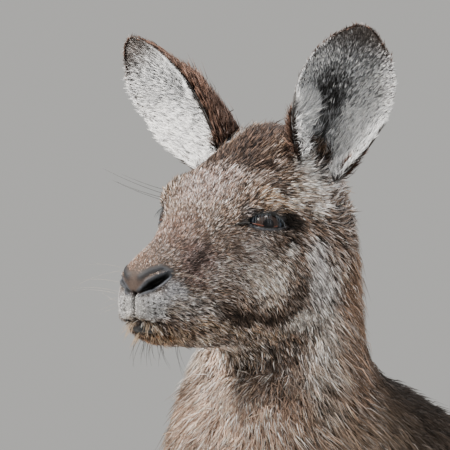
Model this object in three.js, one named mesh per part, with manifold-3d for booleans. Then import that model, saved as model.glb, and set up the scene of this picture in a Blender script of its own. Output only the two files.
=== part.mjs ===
// Female eastern grey kangaroo (Macropus giganteus), life size, in the relaxed crouch in which
// it doses in the sun: weight on the long hind feet and the tail, back arched, head up.
// Millimetres. The animal faces -Y, its left side is +X and +Z is up.
// The outline is that of the coat, not of the skin under it.
import * as THREE from 'three';
import { mergeVertices } from 'three/addons/utils/BufferGeometryUtils.js';
import Module from 'manifold-3d';

const wasm = await Module();
wasm.setup();

// ---------- driving dimensions ----------
const eyeLevel = 800;          // height of the middle of the eyes above the floor
const eyeForward = -200;       // where that middle lies along the body
const gap = 0.35;              // clearance between neighbouring pieces
const axialSides = 22;         // facets round the head, neck and trunk
const earHalfWidth = 34.5;
const earThickness = 6;
const eyeRadius = 13;
const eyeOut = 37;              // eye centre from the midline
const tailFacets = 12;
const footPress = 1.2;         // how far soles and tail are flattened where they meet the floor

const coat = { grey: 0x8a7a70, dark: 0x4c3b32, pale: 0xb3aba4, claw: 0x1f1b1a, eye: 0x17100c };

// ---------- small helpers ----------
const mirror = (side, p) => [side * p[0], p[1], p[2]];
const vec = (p) => new THREE.Vector3(...p);
const inHead = (p) => [p[0], p[1] + eyeForward, p[2] + eyeLevel];   // head coordinates start between the eyes

// Fills in between rows of numbers on a smooth curve through them.
function smoothRows(rows, steps) {
  const out = [];
  for (let i = 0; i < rows.length - 1; i++) {
    const [a, b, c, d] = [rows[Math.max(i - 1, 0)], rows[i], rows[i + 1], rows[Math.min(i + 2, rows.length - 1)]];
    for (let s = 0; s < steps; s++) {
      const t = s / steps;
      out.push(b.map((_, k) => 0.5 * (2 * b[k] + (c[k] - a[k]) * t
        + (2 * a[k] - 5 * b[k] + 4 * c[k] - d[k]) * t * t
        + (3 * b[k] - a[k] - 3 * c[k] + d[k]) * t ** 3)));
    }
  }
  out.push(rows[rows.length - 1].slice());
  return out;
}

// A closed skin over a row of rings, with a flat or pointed end cap at each end.
function skinOver(rings, pointStart = 0, pointEnd = 0) {
  const n = rings[0].length;
  const points = rings.flat();
  const tris = [];
  for (let i = 0; i < rings.length - 1; i++) {
    for (let k = 0; k < n; k++) {
      const [a, b] = [i * n + k, i * n + (k + 1) % n];
      tris.push(a, b, a + n, b, b + n, a + n);
    }
  }
  const cap = (ring, next, start, point) => {
    const centre = ring.reduce((s, p) => s.add(p), new THREE.Vector3()).divideScalar(n);
    const inner = next.reduce((s, p) => s.add(p), new THREE.Vector3()).divideScalar(n);
    centre.addScaledVector(centre.clone().sub(inner).normalize(), point);
    points.push(centre);
    for (let k = 0; k < n; k++) {
      const [a, b] = [start + k, start + (k + 1) % n];
      tris.push(...(start ? [a, b, points.length - 1] : [b, a, points.length - 1]));
    }
  };
  cap(rings[0], rings[1], 0, pointStart);
  cap(rings[rings.length - 1], rings[rings.length - 2], (rings.length - 1) * n, pointEnd);
  const geometry = new THREE.BufferGeometry().setFromPoints(points);
  geometry.setIndex(tris);
  return geometry;
}

function solid(geometry) {
  const bare = geometry.clone();
  bare.deleteAttribute('normal');
  bare.deleteAttribute('uv');
  const g = mergeVertices(bare, 1e-3);
  const made = new wasm.Manifold(new wasm.Mesh({
    numProp: 3,
    vertProperties: new Float32Array(g.attributes.position.array),
    triVerts: new Uint32Array(g.index.array),
  }));
  if (made.volume() > 0) return made;
  const turned = g.index.array.slice().reverse();
  return new wasm.Manifold(new wasm.Mesh({
    numProp: 3,
    vertProperties: new Float32Array(g.attributes.position.array),
    triVerts: new Uint32Array(turned),
  }));
}

// The largest body of a solid: a trim can leave slivers beside it.
const largest = (s) => s.decompose().sort((a, b) => b.volume() - a.volume())[0];

function geometryOf(s) {
  const m = s.getMesh();
  const xyz = new Float32Array(m.numVert * 3);
  for (let i = 0; i < m.numVert; i++) xyz.set(m.vertProperties.subarray(i * m.numProp, i * m.numProp + 3), i * 3);
  const g = new THREE.BufferGeometry().setAttribute('position', new THREE.BufferAttribute(xyz, 3));
  g.setIndex(new THREE.BufferAttribute(m.triVerts, 1));
  g.computeVertexNormals();
  return g;
}

const kangaroo = new THREE.Group();
function place(name, piece, colour, roughness = 0.9) {
  const material = new THREE.MeshStandardMaterial({ color: colour, roughness, metalness: 0 });
  const mesh = new THREE.Mesh(geometryOf(piece), material);
  mesh.name = name;
  kangaroo.add(mesh);
}

const ellipsoid = (centre, radii, turn = [0, 0, 0], detail = 14) => solid(
  new THREE.SphereGeometry(1, detail, Math.round(detail * 0.7)).scale(...radii)
    .rotateX(turn[0]).rotateY(turn[1]).rotateZ(turn[2]).translate(...centre));

const block = (low, high) => solid(new THREE.BoxGeometry(...high.map((h, i) => h - low[i]))
  .translate(...high.map((h, i) => (h + low[i]) / 2)));

// ---------- head, neck and trunk: rings across the midline ----------
// Each row: back point y, z; belly point y, z; half width; height of the widest level (0 top, 1 bottom);
// squareness above and below it. Head rows are in head coordinates.
const headRows = [
  [-98.5, -30, -97, -50, 6.5, 0.5, 2.3, 2.2],   // front of the nose pad
  [-96, -24.5, -95.5, -58, 13, 0.52, 2.1, 2.3],
  [-90, -18.5, -89.5, -66, 19.5, 0.57, 1.95, 2.2],  // upper lip
  [-84, -14.5, -83, -75.5, 23.5, 0.6, 1.9, 2.2],  // lower lip and chin
  [-72, -8, -70, -80, 26.5, 0.6, 1.85, 2.1],
  [-58, 0, -55, -83, 30, 0.58, 1.9, 2.0],
  [-40, 12, -37, -85, 36, 0.55, 2.1, 2.0],
  [-23, 26, -20, -87, 42, 0.5, 2.4, 2.0],
  [-5, 38, -6, -88, 47, 0.5, 2.5, 2.0],         // brow
  [14, 48, 6, -90, 51, 0.52, 2.4, 2.1],
  [34, 58, 15, -92, 54, 0.54, 2.3, 2.1],
  [55, 63, 22, -94, 57, 0.55, 2.2, 2.1],        // crown
  [78, 58, 27, -95, 58, 0.54, 2.1, 2.0],
  [99, 40, 29, -97, 58, 0.52, 2.0, 2.0],
];
const neckRows = [
  [111, 14, 27, -101, 59, 0.5, 2.0, 2.0],       // nape and throat
  [116, -20, 20, -108, 62, 0.5, 2.0, 2.0],
  [118, -54, 9, -121, 65, 0.5, 2.0, 2.0],
  [124, -88, -4, -139, 71, 0.5, 2.0, 2.0],
];
const chestRows = [
  [146, -110, -15, -166, 79, 0.5, 2.0, 2.0],
  [188, -125, -20, -212, 84, 0.52, 2.0, 2.1],
  [241, -149, 6, -270, 90, 0.54, 2.0, 2.2],
  [300, -186, 54, -338, 97, 0.55, 2.0, 2.2],
];
const bellyRows = [
  [358, -232, 114, -407, 104, 0.56, 2.0, 2.2],
  [410, -288, 178, -470, 111, 0.56, 2.0, 2.2],
  [454, -346, 244, -520, 112, 0.54, 2.0, 2.2],
];
const rumpRows = [
  [488, -412, 318, -556, 104, 0.5, 2.0, 2.1],
  [512, -466, 378, -582, 90, 0.48, 2.0, 2.0],
  [533, -512, 419, -597, 73, 0.48, 2.0, 2.0],
  [550, -548, 454, -608, 57, 0.5, 2.0, 2.0],    // root of the tail
];

function ringAcross(row, grow, sides) {
  const [topY, topZ, lowY, lowZ, halfWidth, widest, squareTop, squareLow] = row;
  const middle = [topY + (lowY - topY) * widest, topZ + (lowZ - topZ) * widest];
  const height = Math.hypot(topY - lowY, topZ - lowZ);
  const ring = [];
  for (let k = 0; k < sides; k++) {
    const angle = (2 * Math.PI * k) / sides;
    const [c, s] = [Math.cos(angle), Math.sin(angle)];
    const square = c >= 0 ? squareTop : squareLow;
    const far = c >= 0 ? [topY, topZ] : [lowY, lowZ];
    const reach = Math.abs(c) ** (2 / square) * (1 + (2 * grow) / height);
    const out = Math.sign(s) * Math.abs(s) ** (2 / square) * (halfWidth + grow);
    ring.push(vec(inHead([out, middle[0] + (far[0] - middle[0]) * reach, middle[1] + (far[1] - middle[1]) * reach])));
  }
  return ring;
}

// Swellings and hollows of the head: centre on the left side, radius, height.
const headForms = [
  [[44, -6, 20], 15, 13],       // brow over the eye
  [[33, -24, 2], 12, -2.5],      // hollow before the eye
  [[50, -3, -1], 14, -6],        // orbit
  [[44, 4, -20], 16, 2.5],       // cheekbone
  [[52, 30, -48], 30, 4],        // cheek
  [[28, -52, -34], 17, -3],      // hollow of the muzzle
  [[21, -86, -55], 12, 2.5],     // upper lip
  [[14, -100, -34], 8, 1.5],     // wing of the nostril
  [[27, 71, 52], 17, 11],        // root of the ear
];
function shapeHead(ring) {
  const middle = ring.reduce((s, p) => s.add(p), new THREE.Vector3()).divideScalar(ring.length);
  for (const p of ring) {
    const away = p.clone().sub(middle).normalize();
    for (const [centre, radius, height] of headForms) {
      for (const side of [1, -1]) {
        const d = p.distanceTo(vec(inHead(mirror(side, centre)))) / radius;
        p.addScaledVector(away, height * Math.exp(-d * d));
      }
    }
  }
  return ring;
}

const stretch = { head: headRows, neck: neckRows, chest: chestRows, belly: bellyRows, rump: rumpRows };
const fineRows = smoothRows([...headRows, ...neckRows, chestRows[0]], 2);
const allRows = [...fineRows, ...chestRows.slice(1), ...bellyRows, ...rumpRows];
const counts = Object.values(stretch).map((rows, i) => rows.length * (i < 2 ? 2 : 1));
function axialPiece(first, last, grow, startsInside) {
  const rings = allRows.slice(first, last + 1).map((row) => shapeHead(ringAcross(row, grow, axialSides)));
  const axis = (a, b) => b.reduce((s, p, k) => s.add(p.clone().sub(a[k])), new THREE.Vector3()).normalize();
  if (startsInside) {
    const push = axis(rings[0], rings[1]).multiplyScalar(gap);
    rings[0].forEach((p) => p.add(push));
  }
  return solid(skinOver(rings, first ? 0 : 2));
}

const names = Object.keys(stretch);
const axial = {};
const wholeAxis = solid(skinOver(allRows.map((row) => shapeHead(ringAcross(row, gap, axialSides))), 2));
{
  let first = 0;
  names.forEach((name, i) => {
    const last = i === names.length - 1 ? allRows.length - 1 : first + counts[i] - (i ? 0 : 1);
    axial[name] = axialPiece(first, last, 0, i > 0);
    first = last;
  });
}

// ---------- limbs and tail: rings along a bent centre line ----------
// Each row: centre x, y, z; half width across; half depth in the plane of the bend.
function limbRings(rows, sides, grow = 0, steps = 2) {
  const fine = smoothRows(rows, steps);
  return fine.map((row, i) => {
    const here = vec(row);
    const along = vec(fine[Math.min(i + 1, fine.length - 1)]).sub(vec(fine[Math.max(i - 1, 0)])).normalize();
    const across = new THREE.Vector3(1, 0, 0).addScaledVector(along, -along.x).normalize();
    const deep = new THREE.Vector3().crossVectors(along, across);
    return Array.from({ length: sides }, (_, k) => {
      const angle = (2 * Math.PI * k) / sides;
      return here.clone().addScaledVector(across, Math.cos(angle) * (row[3] + grow))
        .addScaledVector(deep, Math.sin(angle) * (row[4] + grow));
    });
  });
}
const limb = (rows, sides, grow = 0, steps = 2, ends = [0.5, 0.5]) => {
  const rings = limbRings(rows, sides, grow, steps);
  const last = rows[rows.length - 1];
  return solid(skinOver(rings, rows[0][4] * ends[0], last[4] * ends[1]));
};
const onSide = (side, rows) => rows.map((r) => [side * r[0], ...r.slice(1)]);
const floor = block([-400, -500, -80], [400, 1200, footPress]);

const tailRows = [
  [0, 262, 292, 66, 66],
  [0, 302, 222, 54, 56],
  [0, 350, 148, 45, 47],
  [0, 420, 82, 38, 39],
  [0, 505, 43, 32, 32],
  [0, 610, 27, 27, 27.5],
  [0, 730, 21, 22, 22],
  [0, 850, 16.5, 17, 17.5],
  [0, 945, 12.5, 12.5, 13.5],
  [0, 985, 10.5, 8, 9],
];
const tail = limb(tailRows, tailFacets, 0, 2, [0.3, 0.6]).subtract(wholeAxis).subtract(floor);
const tailCuts = [395, 560, 760];   // where the tail is divided, along Y

const legRows = {
  thigh: [
    [76, 246, 340, 34, 54], [86, 208, 364, 50, 88], [94, 145, 372, 56, 108],
    [103, 70, 352, 54, 106], [112, -5, 330, 47, 86], [118, -68, 317, 39, 61], [120, -108, 313, 30, 42],
  ],
  shank: [
    [120, -102, 321, 31, 37], [119, -66, 272, 36, 47], [117, -10, 214, 34, 46],
    [112, 50, 160, 27, 34], [108, 98, 114, 20, 25], [106, 134, 76, 18, 23],
  ],
  foot: [
    [106, 166, 42, 17, 24], [107, 142, 40, 22, 38], [109, 104, 27, 23, 27],
    [112, 40, 20, 23.5, 20.5], [116, -30, 17, 25, 17.5], [119, -72, 15.5, 27, 16],
  ],
};
const toes = [
  // centre line of each toe, then the claw's root, length and radius
  { rows: [[119, -60, 15, 15, 15], [120, -100, 15, 14.5, 15], [121, -130, 14, 12, 13]], claw: [121, -134, 13, 34, 6.2], name: 'fourth' },
  { rows: [[134, -50, 14, 10, 13], [139, -78, 13, 9.5, 12.5], [141, -96, 12, 8, 10.5]], claw: [141, -100, 11, 22, 4.6], name: 'fifth' },
  { rows: [[104, -40, 15, 8.5, 12], [102, -70, 13.5, 8, 11.5], [101, -88, 12.5, 7.5, 9.5]], claw: [98.2, -92, 12.5, 13, 2.8], name: 'second' },
  { claw: [103.8, -92, 12.5, 13, 2.8], name: 'third' },
];

const armRows = {
  upper: [
    [58, -108, 618, 30, 42], [76, -98, 586, 31, 44], [90, -78, 540, 28, 38], [96, -62, 500, 23, 31], [97, -62, 474, 19, 23],
  ],
  forearm: [
    [97, -62, 470, 19, 22], [94, -92, 448, 20, 23], [84, -132, 420, 16.5, 19], [72, -172, 394, 13.5, 15], [66, -190, 380, 13, 13.5],
  ],
  hand: [
    [65, -194, 377, 14, 12], [62, -206, 360, 18, 11.5], [60, -213, 343, 19, 10], [59, -216, 333, 17.5, 8.5],
  ],
};
const fingers = [-14, -7.5, 0, 7.5, 14];       // offset of each finger across the hand
const fingerLength = [20, 29, 33, 30, 22];
const clawLength = [14, 18, 20, 18, 14];

// A claw: a tapering horn bent downwards, its root at one point and its length along a heading.
function claw(root, heading, bend, length, radius, sides = 5) {
  const forward = vec(heading).normalize();
  const down = vec(bend).addScaledVector(forward, -forward.dot(vec(bend))).normalize();
  const across = new THREE.Vector3().crossVectors(forward, down);
  const rings = [0, 0.5, 0.88].map((t) => {
    const centre = vec(root).addScaledVector(forward, length * t).addScaledVector(down, length * 0.3 * t * t);
    const size = radius * (1 - t) ** 0.8;
    return Array.from({ length: sides }, (_, k) => {
      const angle = (2 * Math.PI * k) / sides;
      return centre.clone().addScaledVector(across, 0.8 * size * Math.cos(angle))
        .addScaledVector(down, size * Math.sin(angle));
    });
  });
  return solid(skinOver(rings, 0, length * 0.08));
}

function leg(side, word) {
  const rows = Object.fromEntries(Object.entries(legRows).map(([k, v]) => [k, onSide(side, v)]));
  const make = (k, grow = 0) => limb(rows[k], k === 'thigh' ? 16 : 12, grow, k === 'foot' ? 1 : 2, k === 'shank' ? [0.4, 0.1] : [0.4, 0.35]);
  const thigh = largest(make('thigh').subtract(wholeAxis));
  const shank = largest(make('shank').subtract(make('thigh', gap)).subtract(wholeAxis));
  let foot = make('foot').subtract(make('shank', gap));
  for (const toe of toes) if (toe.rows) foot = foot.add(limb(onSide(side, toe.rows), 8, 0, 1, [0.3, 0.4]));
  foot = foot.subtract(floor);
  place(`thigh_${word}`, thigh, coat.grey);
  place(`shank_${word}`, shank, coat.grey);
  for (const { claw: [x, y, z, length, radius], name } of toes) {
    const horn = (grow) => claw([side * x, y + 6, z], [0, -1, -0.06], [0, 0, -1], length + 6 + grow, radius + grow);
    const cut = claw([side * x, y + 7, z], [0, -1, -0.06], [0, 0, -1], length + 8, radius + 2 * gap);
    foot = foot.subtract(cut);
    place(`claw_foot_${word}_${name}`, horn(0).subtract(floor), coat.claw, 0.4);
  }
  place(`foot_${word}`, largest(foot), coat.dark);
}

function arm(side, word) {
  const rows = Object.fromEntries(Object.entries(armRows).map(([k, v]) => [k, onSide(side, v)]));
  const make = (k, grow = 0) => limb(rows[k], 10, grow, k === 'hand' ? 1 : 2, [0.4, 0.3]);
  const upper = largest(make('upper').subtract(wholeAxis));
  const forearm = largest(make('forearm').subtract(make('upper', gap)).subtract(wholeAxis));
  let hand = make('hand').subtract(make('forearm', gap));
  const knuckle = rows.hand[3];
  const claws = fingers.map((offset, i) => {
    const spread = offset * 1.25;
    const tip = [knuckle[0] + spread * 1.1, knuckle[1] - 3, knuckle[2] - fingerLength[i]];
    const root = [knuckle[0] + offset * 0.85, knuckle[1], knuckle[2] + 6];
    const bone = [root, [(root[0] + tip[0]) / 2, knuckle[1] - 5, (root[2] + tip[2]) / 2], tip]
      .map((p, k) => [...p, 5.4 - 0.7 * k, 5.6 - 0.6 * k]);
    hand = hand.add(limb(bone, 6, 0, 1, [0.3, 0.4]));
    return { tip, length: clawLength[i] };
  });
  claws.forEach(({ tip, length }, i) => {
    const root = [tip[0], tip[1], tip[2] + 3];
    hand = hand.subtract(claw([root[0], root[1], root[2] + 1], [0, -0.25, -1], [0, 1, 0], length + 4, 3 + 2 * gap));
    place(`claw_hand_${word}_${i + 1}`, claw(root, [0, -0.25, -1], [0, 1, 0], length + 2, 3), coat.claw, 0.4);
  });
  place(`upper_arm_${word}`, upper, coat.grey);
  place(`forearm_${word}`, forearm, coat.grey);
  place(`hand_${word}`, largest(hand), coat.dark);
}

// ---------- ears: a leaf-shaped sheet bent into a cup ----------
const earPose = {
  // root, length and its direction, direction the opening faces, in head coordinates
  left: { root: [37, 60, 33], length: 113, along: [0.46, -0.08, 1], opening: [0.7, -0.71, -0.15] },
  right: { root: [-37, 60, 34], length: 117, along: [-0.62, -0.3, 0.8], opening: [-0.31, -0.93, -0.2] },
};
// half width and depth of the cup, as shares of their largest, from the root to the tip
const earHalfWidths = [[0.36], [0.53], [0.76], [0.93], [1], [0.99], [0.9], [0.69], [0.27]];
const earCup = (t) => 30 * (1 - t) ** 0.8 + 3;
function ear(pose) {
  const along = vec(pose.along).normalize();
  const opening = vec(pose.opening).addScaledVector(along, -along.dot(vec(pose.opening))).normalize();
  const across = new THREE.Vector3().crossVectors(along, opening);
  const widths = smoothRows(earHalfWidths, 1);
  const columns = 7;
  const rings = widths.map(([share], i) => {
    const t = i / (widths.length - 1);
    const half = earHalfWidth * share;
    const at = (s, lift) => vec(inHead(pose.root)).addScaledVector(along, pose.length * t)
      .addScaledVector(across, half * Math.sin(s * (1.15 - 0.5 * t) * 1.05) / Math.sin((1.15 - 0.5 * t) * 1.05))
      .addScaledVector(opening, earCup(t) * (s * s - 0.5) + lift * (0.55 + 0.45 * (1 - s * s)));
    const inner = [], outer = [];
    for (let k = 0; k <= columns; k++) {
      const s = -1 + (2 * k) / columns;
      inner.push(at(s, 0));
      outer.push(at(s, -earThickness));
    }
    return [...inner, ...outer.reverse()];
  });
  return solid(skinOver(rings, 0, 2));
}

// ---------- put together ----------
const eyeAt = (side) => inHead([side * eyeOut, -1, 0]);
let head = axial.head;
for (const side of [1, -1]) {
  head = head.subtract(ellipsoid(eyeAt(side), Array(3).fill(eyeRadius + gap), [0, 0, 0], 12));
  const nostril = inHead([side * 15, -92, -38]);
  head = head.subtract(ellipsoid(nostril, [4, 10, 4.5], [-0.65, 0, side * 0.75], 10));
}
// The lower jaw is parted from the head along the mouth.
const jawOutline = new THREE.Shape([
  [-120, -61], [-92, -61.5], [-85, -64.5], [-70, -67], [-50, -71], [-38, -73.5], [-31, -84], [-31, -120], [-120, -120],
].map((p) => new THREE.Vector2(...p)));
const jawWedge = (shift) => solid(new THREE.ExtrudeGeometry(jawOutline, { depth: 120, bevelEnabled: false })
  .applyMatrix4(new THREE.Matrix4().set(0, 0, 1, -60, 1, 0, 0, eyeForward + shift, 0, 1, 0, eyeLevel + shift, 0, 0, 0, 1)));
place('head', largest(head.subtract(jawWedge(0))), coat.grey);
place('lower_jaw', largest(head.intersect(jawWedge(-gap))), coat.pale);
for (const name of names.slice(1)) place(name, axial[name], name === 'rump' ? coat.grey : coat.pale);

for (const [side, word] of [[1, 'left'], [-1, 'right']]) {
  place(`eye_${word}`, ellipsoid(eyeAt(side), Array(3).fill(eyeRadius), [0, 0, 0], 12), coat.eye, 0.1);
  place(`ear_${word}`, largest(ear(earPose[word]).subtract(wholeAxis)), coat.dark);
  arm(side, word);
  leg(side, word);
}
[0, ...tailCuts].forEach((from, i) => {
  const to = tailCuts[i] ?? 1100;
  place(`tail_${i + 1}`, largest(tail.intersect(block([-200, from + (i ? gap : 0), -10], [200, to, 500]))), coat.grey);
});

// The part's origin is on the floor under the middle of the animal's own box.
kangaroo.updateMatrixWorld(true);
const box = new THREE.Box3().setFromObject(kangaroo);
kangaroo.position.set(-(box.min.x + box.max.x) / 2, -(box.min.y + box.max.y) / 2, -box.min.z);

export default kangaroo;
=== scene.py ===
import math
import bmesh
import bpy
import numpy as np
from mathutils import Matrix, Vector
from mathutils.bvhtree import BVHTree
from mathutils.kdtree import KDTree


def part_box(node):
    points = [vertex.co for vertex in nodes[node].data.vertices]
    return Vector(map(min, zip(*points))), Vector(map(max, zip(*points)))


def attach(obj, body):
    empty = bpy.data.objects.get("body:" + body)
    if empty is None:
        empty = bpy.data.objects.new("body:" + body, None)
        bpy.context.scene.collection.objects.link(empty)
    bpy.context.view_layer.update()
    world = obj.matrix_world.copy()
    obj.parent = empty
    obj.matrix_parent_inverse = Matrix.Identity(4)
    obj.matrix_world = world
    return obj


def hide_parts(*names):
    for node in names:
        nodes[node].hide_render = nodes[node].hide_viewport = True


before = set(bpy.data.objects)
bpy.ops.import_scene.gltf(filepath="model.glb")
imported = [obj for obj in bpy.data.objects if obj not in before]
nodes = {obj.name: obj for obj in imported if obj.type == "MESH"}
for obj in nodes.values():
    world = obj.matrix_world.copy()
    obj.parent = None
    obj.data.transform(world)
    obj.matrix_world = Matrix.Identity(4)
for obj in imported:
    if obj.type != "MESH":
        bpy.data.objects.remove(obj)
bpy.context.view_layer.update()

# Life-size model of a female grey kangaroo. The animal faces -Y, its left side is +X, +Z is up.
# The fixed solids give the outline at the tips of the coat. One skin is laid inside them, the face
# is shaped on it, and tufts of hair cover it.
mm = 0.001
weld = 1e-5               # corners of a fixed solid closer than this are one
floorGap = 0.0002         # nothing goes lower than this
leftRight = (1, -1)


# places measured from the fixed solids
def middle(name):
    low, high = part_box(name)
    return (np.array(low) + np.array(high)) / 2


eyeCentre = {1: middle("eye_left"), -1: middle("eye_right")}
eyeRadius = (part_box("eye_left")[1][2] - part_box("eye_left")[0][2]) / 2
headZero = (eyeCentre[1] + eyeCentre[-1]) / 2       # head measures start between the eyes


def headMm(points):
    return (np.asarray(points) - headZero) / mm


def fromHead(points):
    return np.asarray(points, float) * mm + headZero


# small helpers
def unit(v):
    return v / np.maximum(np.linalg.norm(v, axis=-1, keepdims=True), 1e-12)


def linear(hexColour):
    rgb = np.array([int(hexColour[i:i + 2], 16) for i in (1, 3, 5)]) / 255
    return np.where(rgb <= 0.04045, rgb / 12.92, ((rgb + 0.055) / 1.055) ** 2.4)


def smoothStep(x, low, high):
    t = np.clip((x - low) / (high - low), 0, 1)
    return t * t * (3 - 2 * t)


def fade(x, low, high):
    return 1 - smoothStep(x, low, high)


def swell(d, reach):
    return np.exp(-(d / reach) ** 2)


def towards(values, weight, goal):
    # goal is a colour or a row of values
    goal = linear(goal) if isinstance(goal, str) else np.asarray(goal)
    return values + np.asarray(weight).reshape(-1, 1) * (goal - values)


def ripples(points, size, seed, count=5):
    rolls = np.random.default_rng(seed)
    total = np.zeros((len(points), 3))
    for _ in range(count):
        wave = unit(rolls.normal(size=3)) * 2 * math.pi / (size * rolls.uniform(0.7, 1.4))
        total += np.sin(points @ wave + rolls.uniform(0, 6.3))[:, None] * unit(rolls.normal(size=3))
    return total / math.sqrt(count)


def lineDistance(points, line):
    # how far each point is from the line, and how far along the line its nearest place is, 0 to 1
    best = np.full(len(points), 1e9)
    along = np.zeros(len(points))
    for i in range(len(line) - 1):
        a, b = line[i], line[i + 1]
        t = np.clip(((points - a) @ (b - a)) / ((b - a) @ (b - a)), 0, 1)
        d = np.linalg.norm(points - a - t[:, None] * (b - a), axis=1)
        nearer = d < best
        best = np.where(nearer, d, best)
        along = np.where(nearer, (i + t) / (len(line) - 1), along)
    return best, along


def onto(tree, points):
    return np.array([tree.find_nearest(Vector(p))[0][:] for p in points])


def vertexNormals(co, tris):
    face = np.cross(co[tris[:, 1]] - co[tris[:, 0]], co[tris[:, 2]] - co[tris[:, 0]])
    total = np.zeros_like(co)
    for k in range(3):
        for axis in range(3):
            total[:, axis] += np.bincount(tris[:, k], face[:, axis], len(co))
    return unit(total)


def relax(values, edges, share, passes):
    # each point moves towards the mean of its neighbours; a large share goes out again every
    # second pass, which keeps the volume
    n = len(values)
    both = np.concatenate([edges, edges[:, ::-1]])
    degree = np.maximum(np.bincount(both[:, 0], minlength=n), 1)
    values = values.copy()
    flat = values.reshape(n, -1)
    for k in range(passes):
        mean = [np.bincount(both[:, 0], flat[both[:, 1], c], n) for c in range(flat.shape[1])]
        amount = share if k % 2 == 0 or share.max() <= 0.4 else -1.04 * share
        flat += (np.stack(mean, 1) / degree[:, None] - flat) * amount[:, None]
    return flat.reshape(values.shape)


def addObject(name, data):
    item = bpy.data.objects.new(name, data)
    bpy.context.scene.collection.objects.link(item)
    return item


def meshOf(name, co, tris, material):
    mesh = bpy.data.meshes.new(name)
    mesh.vertices.add(len(co))
    mesh.vertices.foreach_set("co", np.ascontiguousarray(co, np.float32).ravel())
    mesh.loops.add(tris.size)
    mesh.loops.foreach_set("vertex_index", np.ascontiguousarray(tris, np.int32).ravel())
    mesh.polygons.add(len(tris))
    mesh.polygons.foreach_set("loop_start", np.arange(0, tris.size, 3, dtype=np.int32))
    mesh.update(calc_edges=True)
    mesh.materials.append(material)
    mesh.shade_smooth()
    return addObject(name, mesh)


def toMesh(net, name):
    mesh = bpy.data.meshes.new(name)
    net.to_mesh(mesh)
    net.free()
    return mesh


def evaluated(rough):
    return rough.evaluated_get(bpy.context.evaluated_depsgraph_get())


def paint(mesh, colours):
    layer = mesh.color_attributes.new("tint", "FLOAT_COLOR", "POINT")
    rgba = np.ones((len(colours), 4), np.float32)
    rgba[:, :3] = colours
    layer.data.foreach_set("color", rgba.ravel())


def finishPiece(piece, slotName, *replaced):
    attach(piece, "root")
    if replaced:
        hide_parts(*replaced)


# materials
def addNode(material, kind, inputs=None, **settings):
    node = material.node_tree.nodes.new("ShaderNode" + kind)
    for key, value in settings.items():
        setattr(node, key, value)
    for key, value in (inputs or {}).items():
        if isinstance(value, bpy.types.NodeSocket):
            material.node_tree.links.new(value, node.inputs[key])
        else:
            node.inputs[key].default_value = value
    return node


def newMaterial(name, **sockets):
    material = bpy.data.materials.new(name)
    material.use_nodes = True
    shader = material.node_tree.nodes["Principled BSDF"]
    for key, value in sockets.items():
        shader.inputs[key.replace("_", " ")].default_value = value
    return material, shader


def drive(material, shader, **sources):
    for key, source in sources.items():
        material.node_tree.links.new(source, shader.inputs[key.replace("_", " ")])


def perCm(count):
    # scale of a pattern with so many streaks, pores or fibres in 10 mm
    return count / (10 * mm)


def tintNodes(material, shader, count, detail, least, most):
    # the piece's own tint, darker and lighter in a fine pattern
    tint = addNode(material, "Attribute", attribute_name="tint")
    place = addNode(material, "TexCoord").outputs["Object"]
    grain = addNode(material, "TexNoise", {"Vector": place, "Scale": perCm(count), "Detail": detail})
    spread = addNode(material, "MapRange", {"Value": grain.outputs["Fac"], "To Min": least, "To Max": most})
    mix = addNode(material, "VectorMath", {0: tint.outputs["Color"], 1: spread.outputs["Result"]},
                  operation="MULTIPLY")
    drive(material, shader, Base_Color=mix.outputs["Vector"])
    return place, grain


def rampBetween(material, shader, pattern, dark, light, start=0.0, end=1.0):
    ramp = addNode(material, "ValToRGB", {"Fac": pattern.outputs["Fac"]})
    for stop, colour, position in zip(ramp.color_ramp.elements, (dark, light), (start, end)):
        stop.color = (*colour, 1)
        stop.position = position
    drive(material, shader, Base_Color=ramp.outputs["Color"])


def hairMaterial():
    # hair: the tint of each tuft, broken up by streaks 1 mm wide, coarser than real ones so that
    # they show; dull with a slight sheen
    material, shader = newMaterial("kangarooHair", Roughness=0.62, Specular_IOR_Level=0.14)
    tintNodes(material, shader, 9, 2.0, 0.75, 1.25)
    return material


def skinMaterial():
    # skin: leathery, with pores and fine lines where it is bare; dark under the coat
    material, shader = newMaterial("kangarooSkin", Roughness=0.65, Specular_IOR_Level=0.3)
    place, folds = tintNodes(material, shader, 6.2, 4.0, 0.45, 1.55)
    pores = addNode(material, "TexVoronoi", {"Vector": place, "Scale": perCm(11)})
    dull = addNode(material, "MapRange", {"Value": folds.outputs["Fac"], "To Min": 0.5, "To Max": 0.78})
    relief = addNode(material, "Math", {0: pores.outputs["Distance"], 1: folds.outputs["Fac"]},
                     operation="ADD").outputs["Value"]
    bump = addNode(material, "Bump", {"Height": relief, "Strength": 0.35, "Distance": 0.4 * mm})
    drive(material, shader, Roughness=dull.outputs["Result"], Normal=bump.outputs["Normal"])
    return material


def eyeMaterial():
    # eyeball: brown iris with fibres and a dark pupil, glossy from the tear film
    material, shader = newMaterial("eyeball", Roughness=0.16, Specular_IOR_Level=0.25)
    tintNodes(material, shader, 6, 3.0, 0.8, 1.2)
    return material


def unevenMaterial(name, colour, roughness):
    # lid edges, whiskers and bristles: one colour, a little uneven; wet edges and hairs shine more
    material, shader = newMaterial(name, Roughness=roughness)
    place = addNode(material, "TexCoord").outputs["Object"]
    patches = addNode(material, "TexNoise", {"Vector": place, "Scale": perCm(5), "Detail": 3.0})
    rampBetween(material, shader, patches, linear(colour) * 0.6, linear(colour) * 1.4, 0.3, 0.7)
    return material


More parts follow.
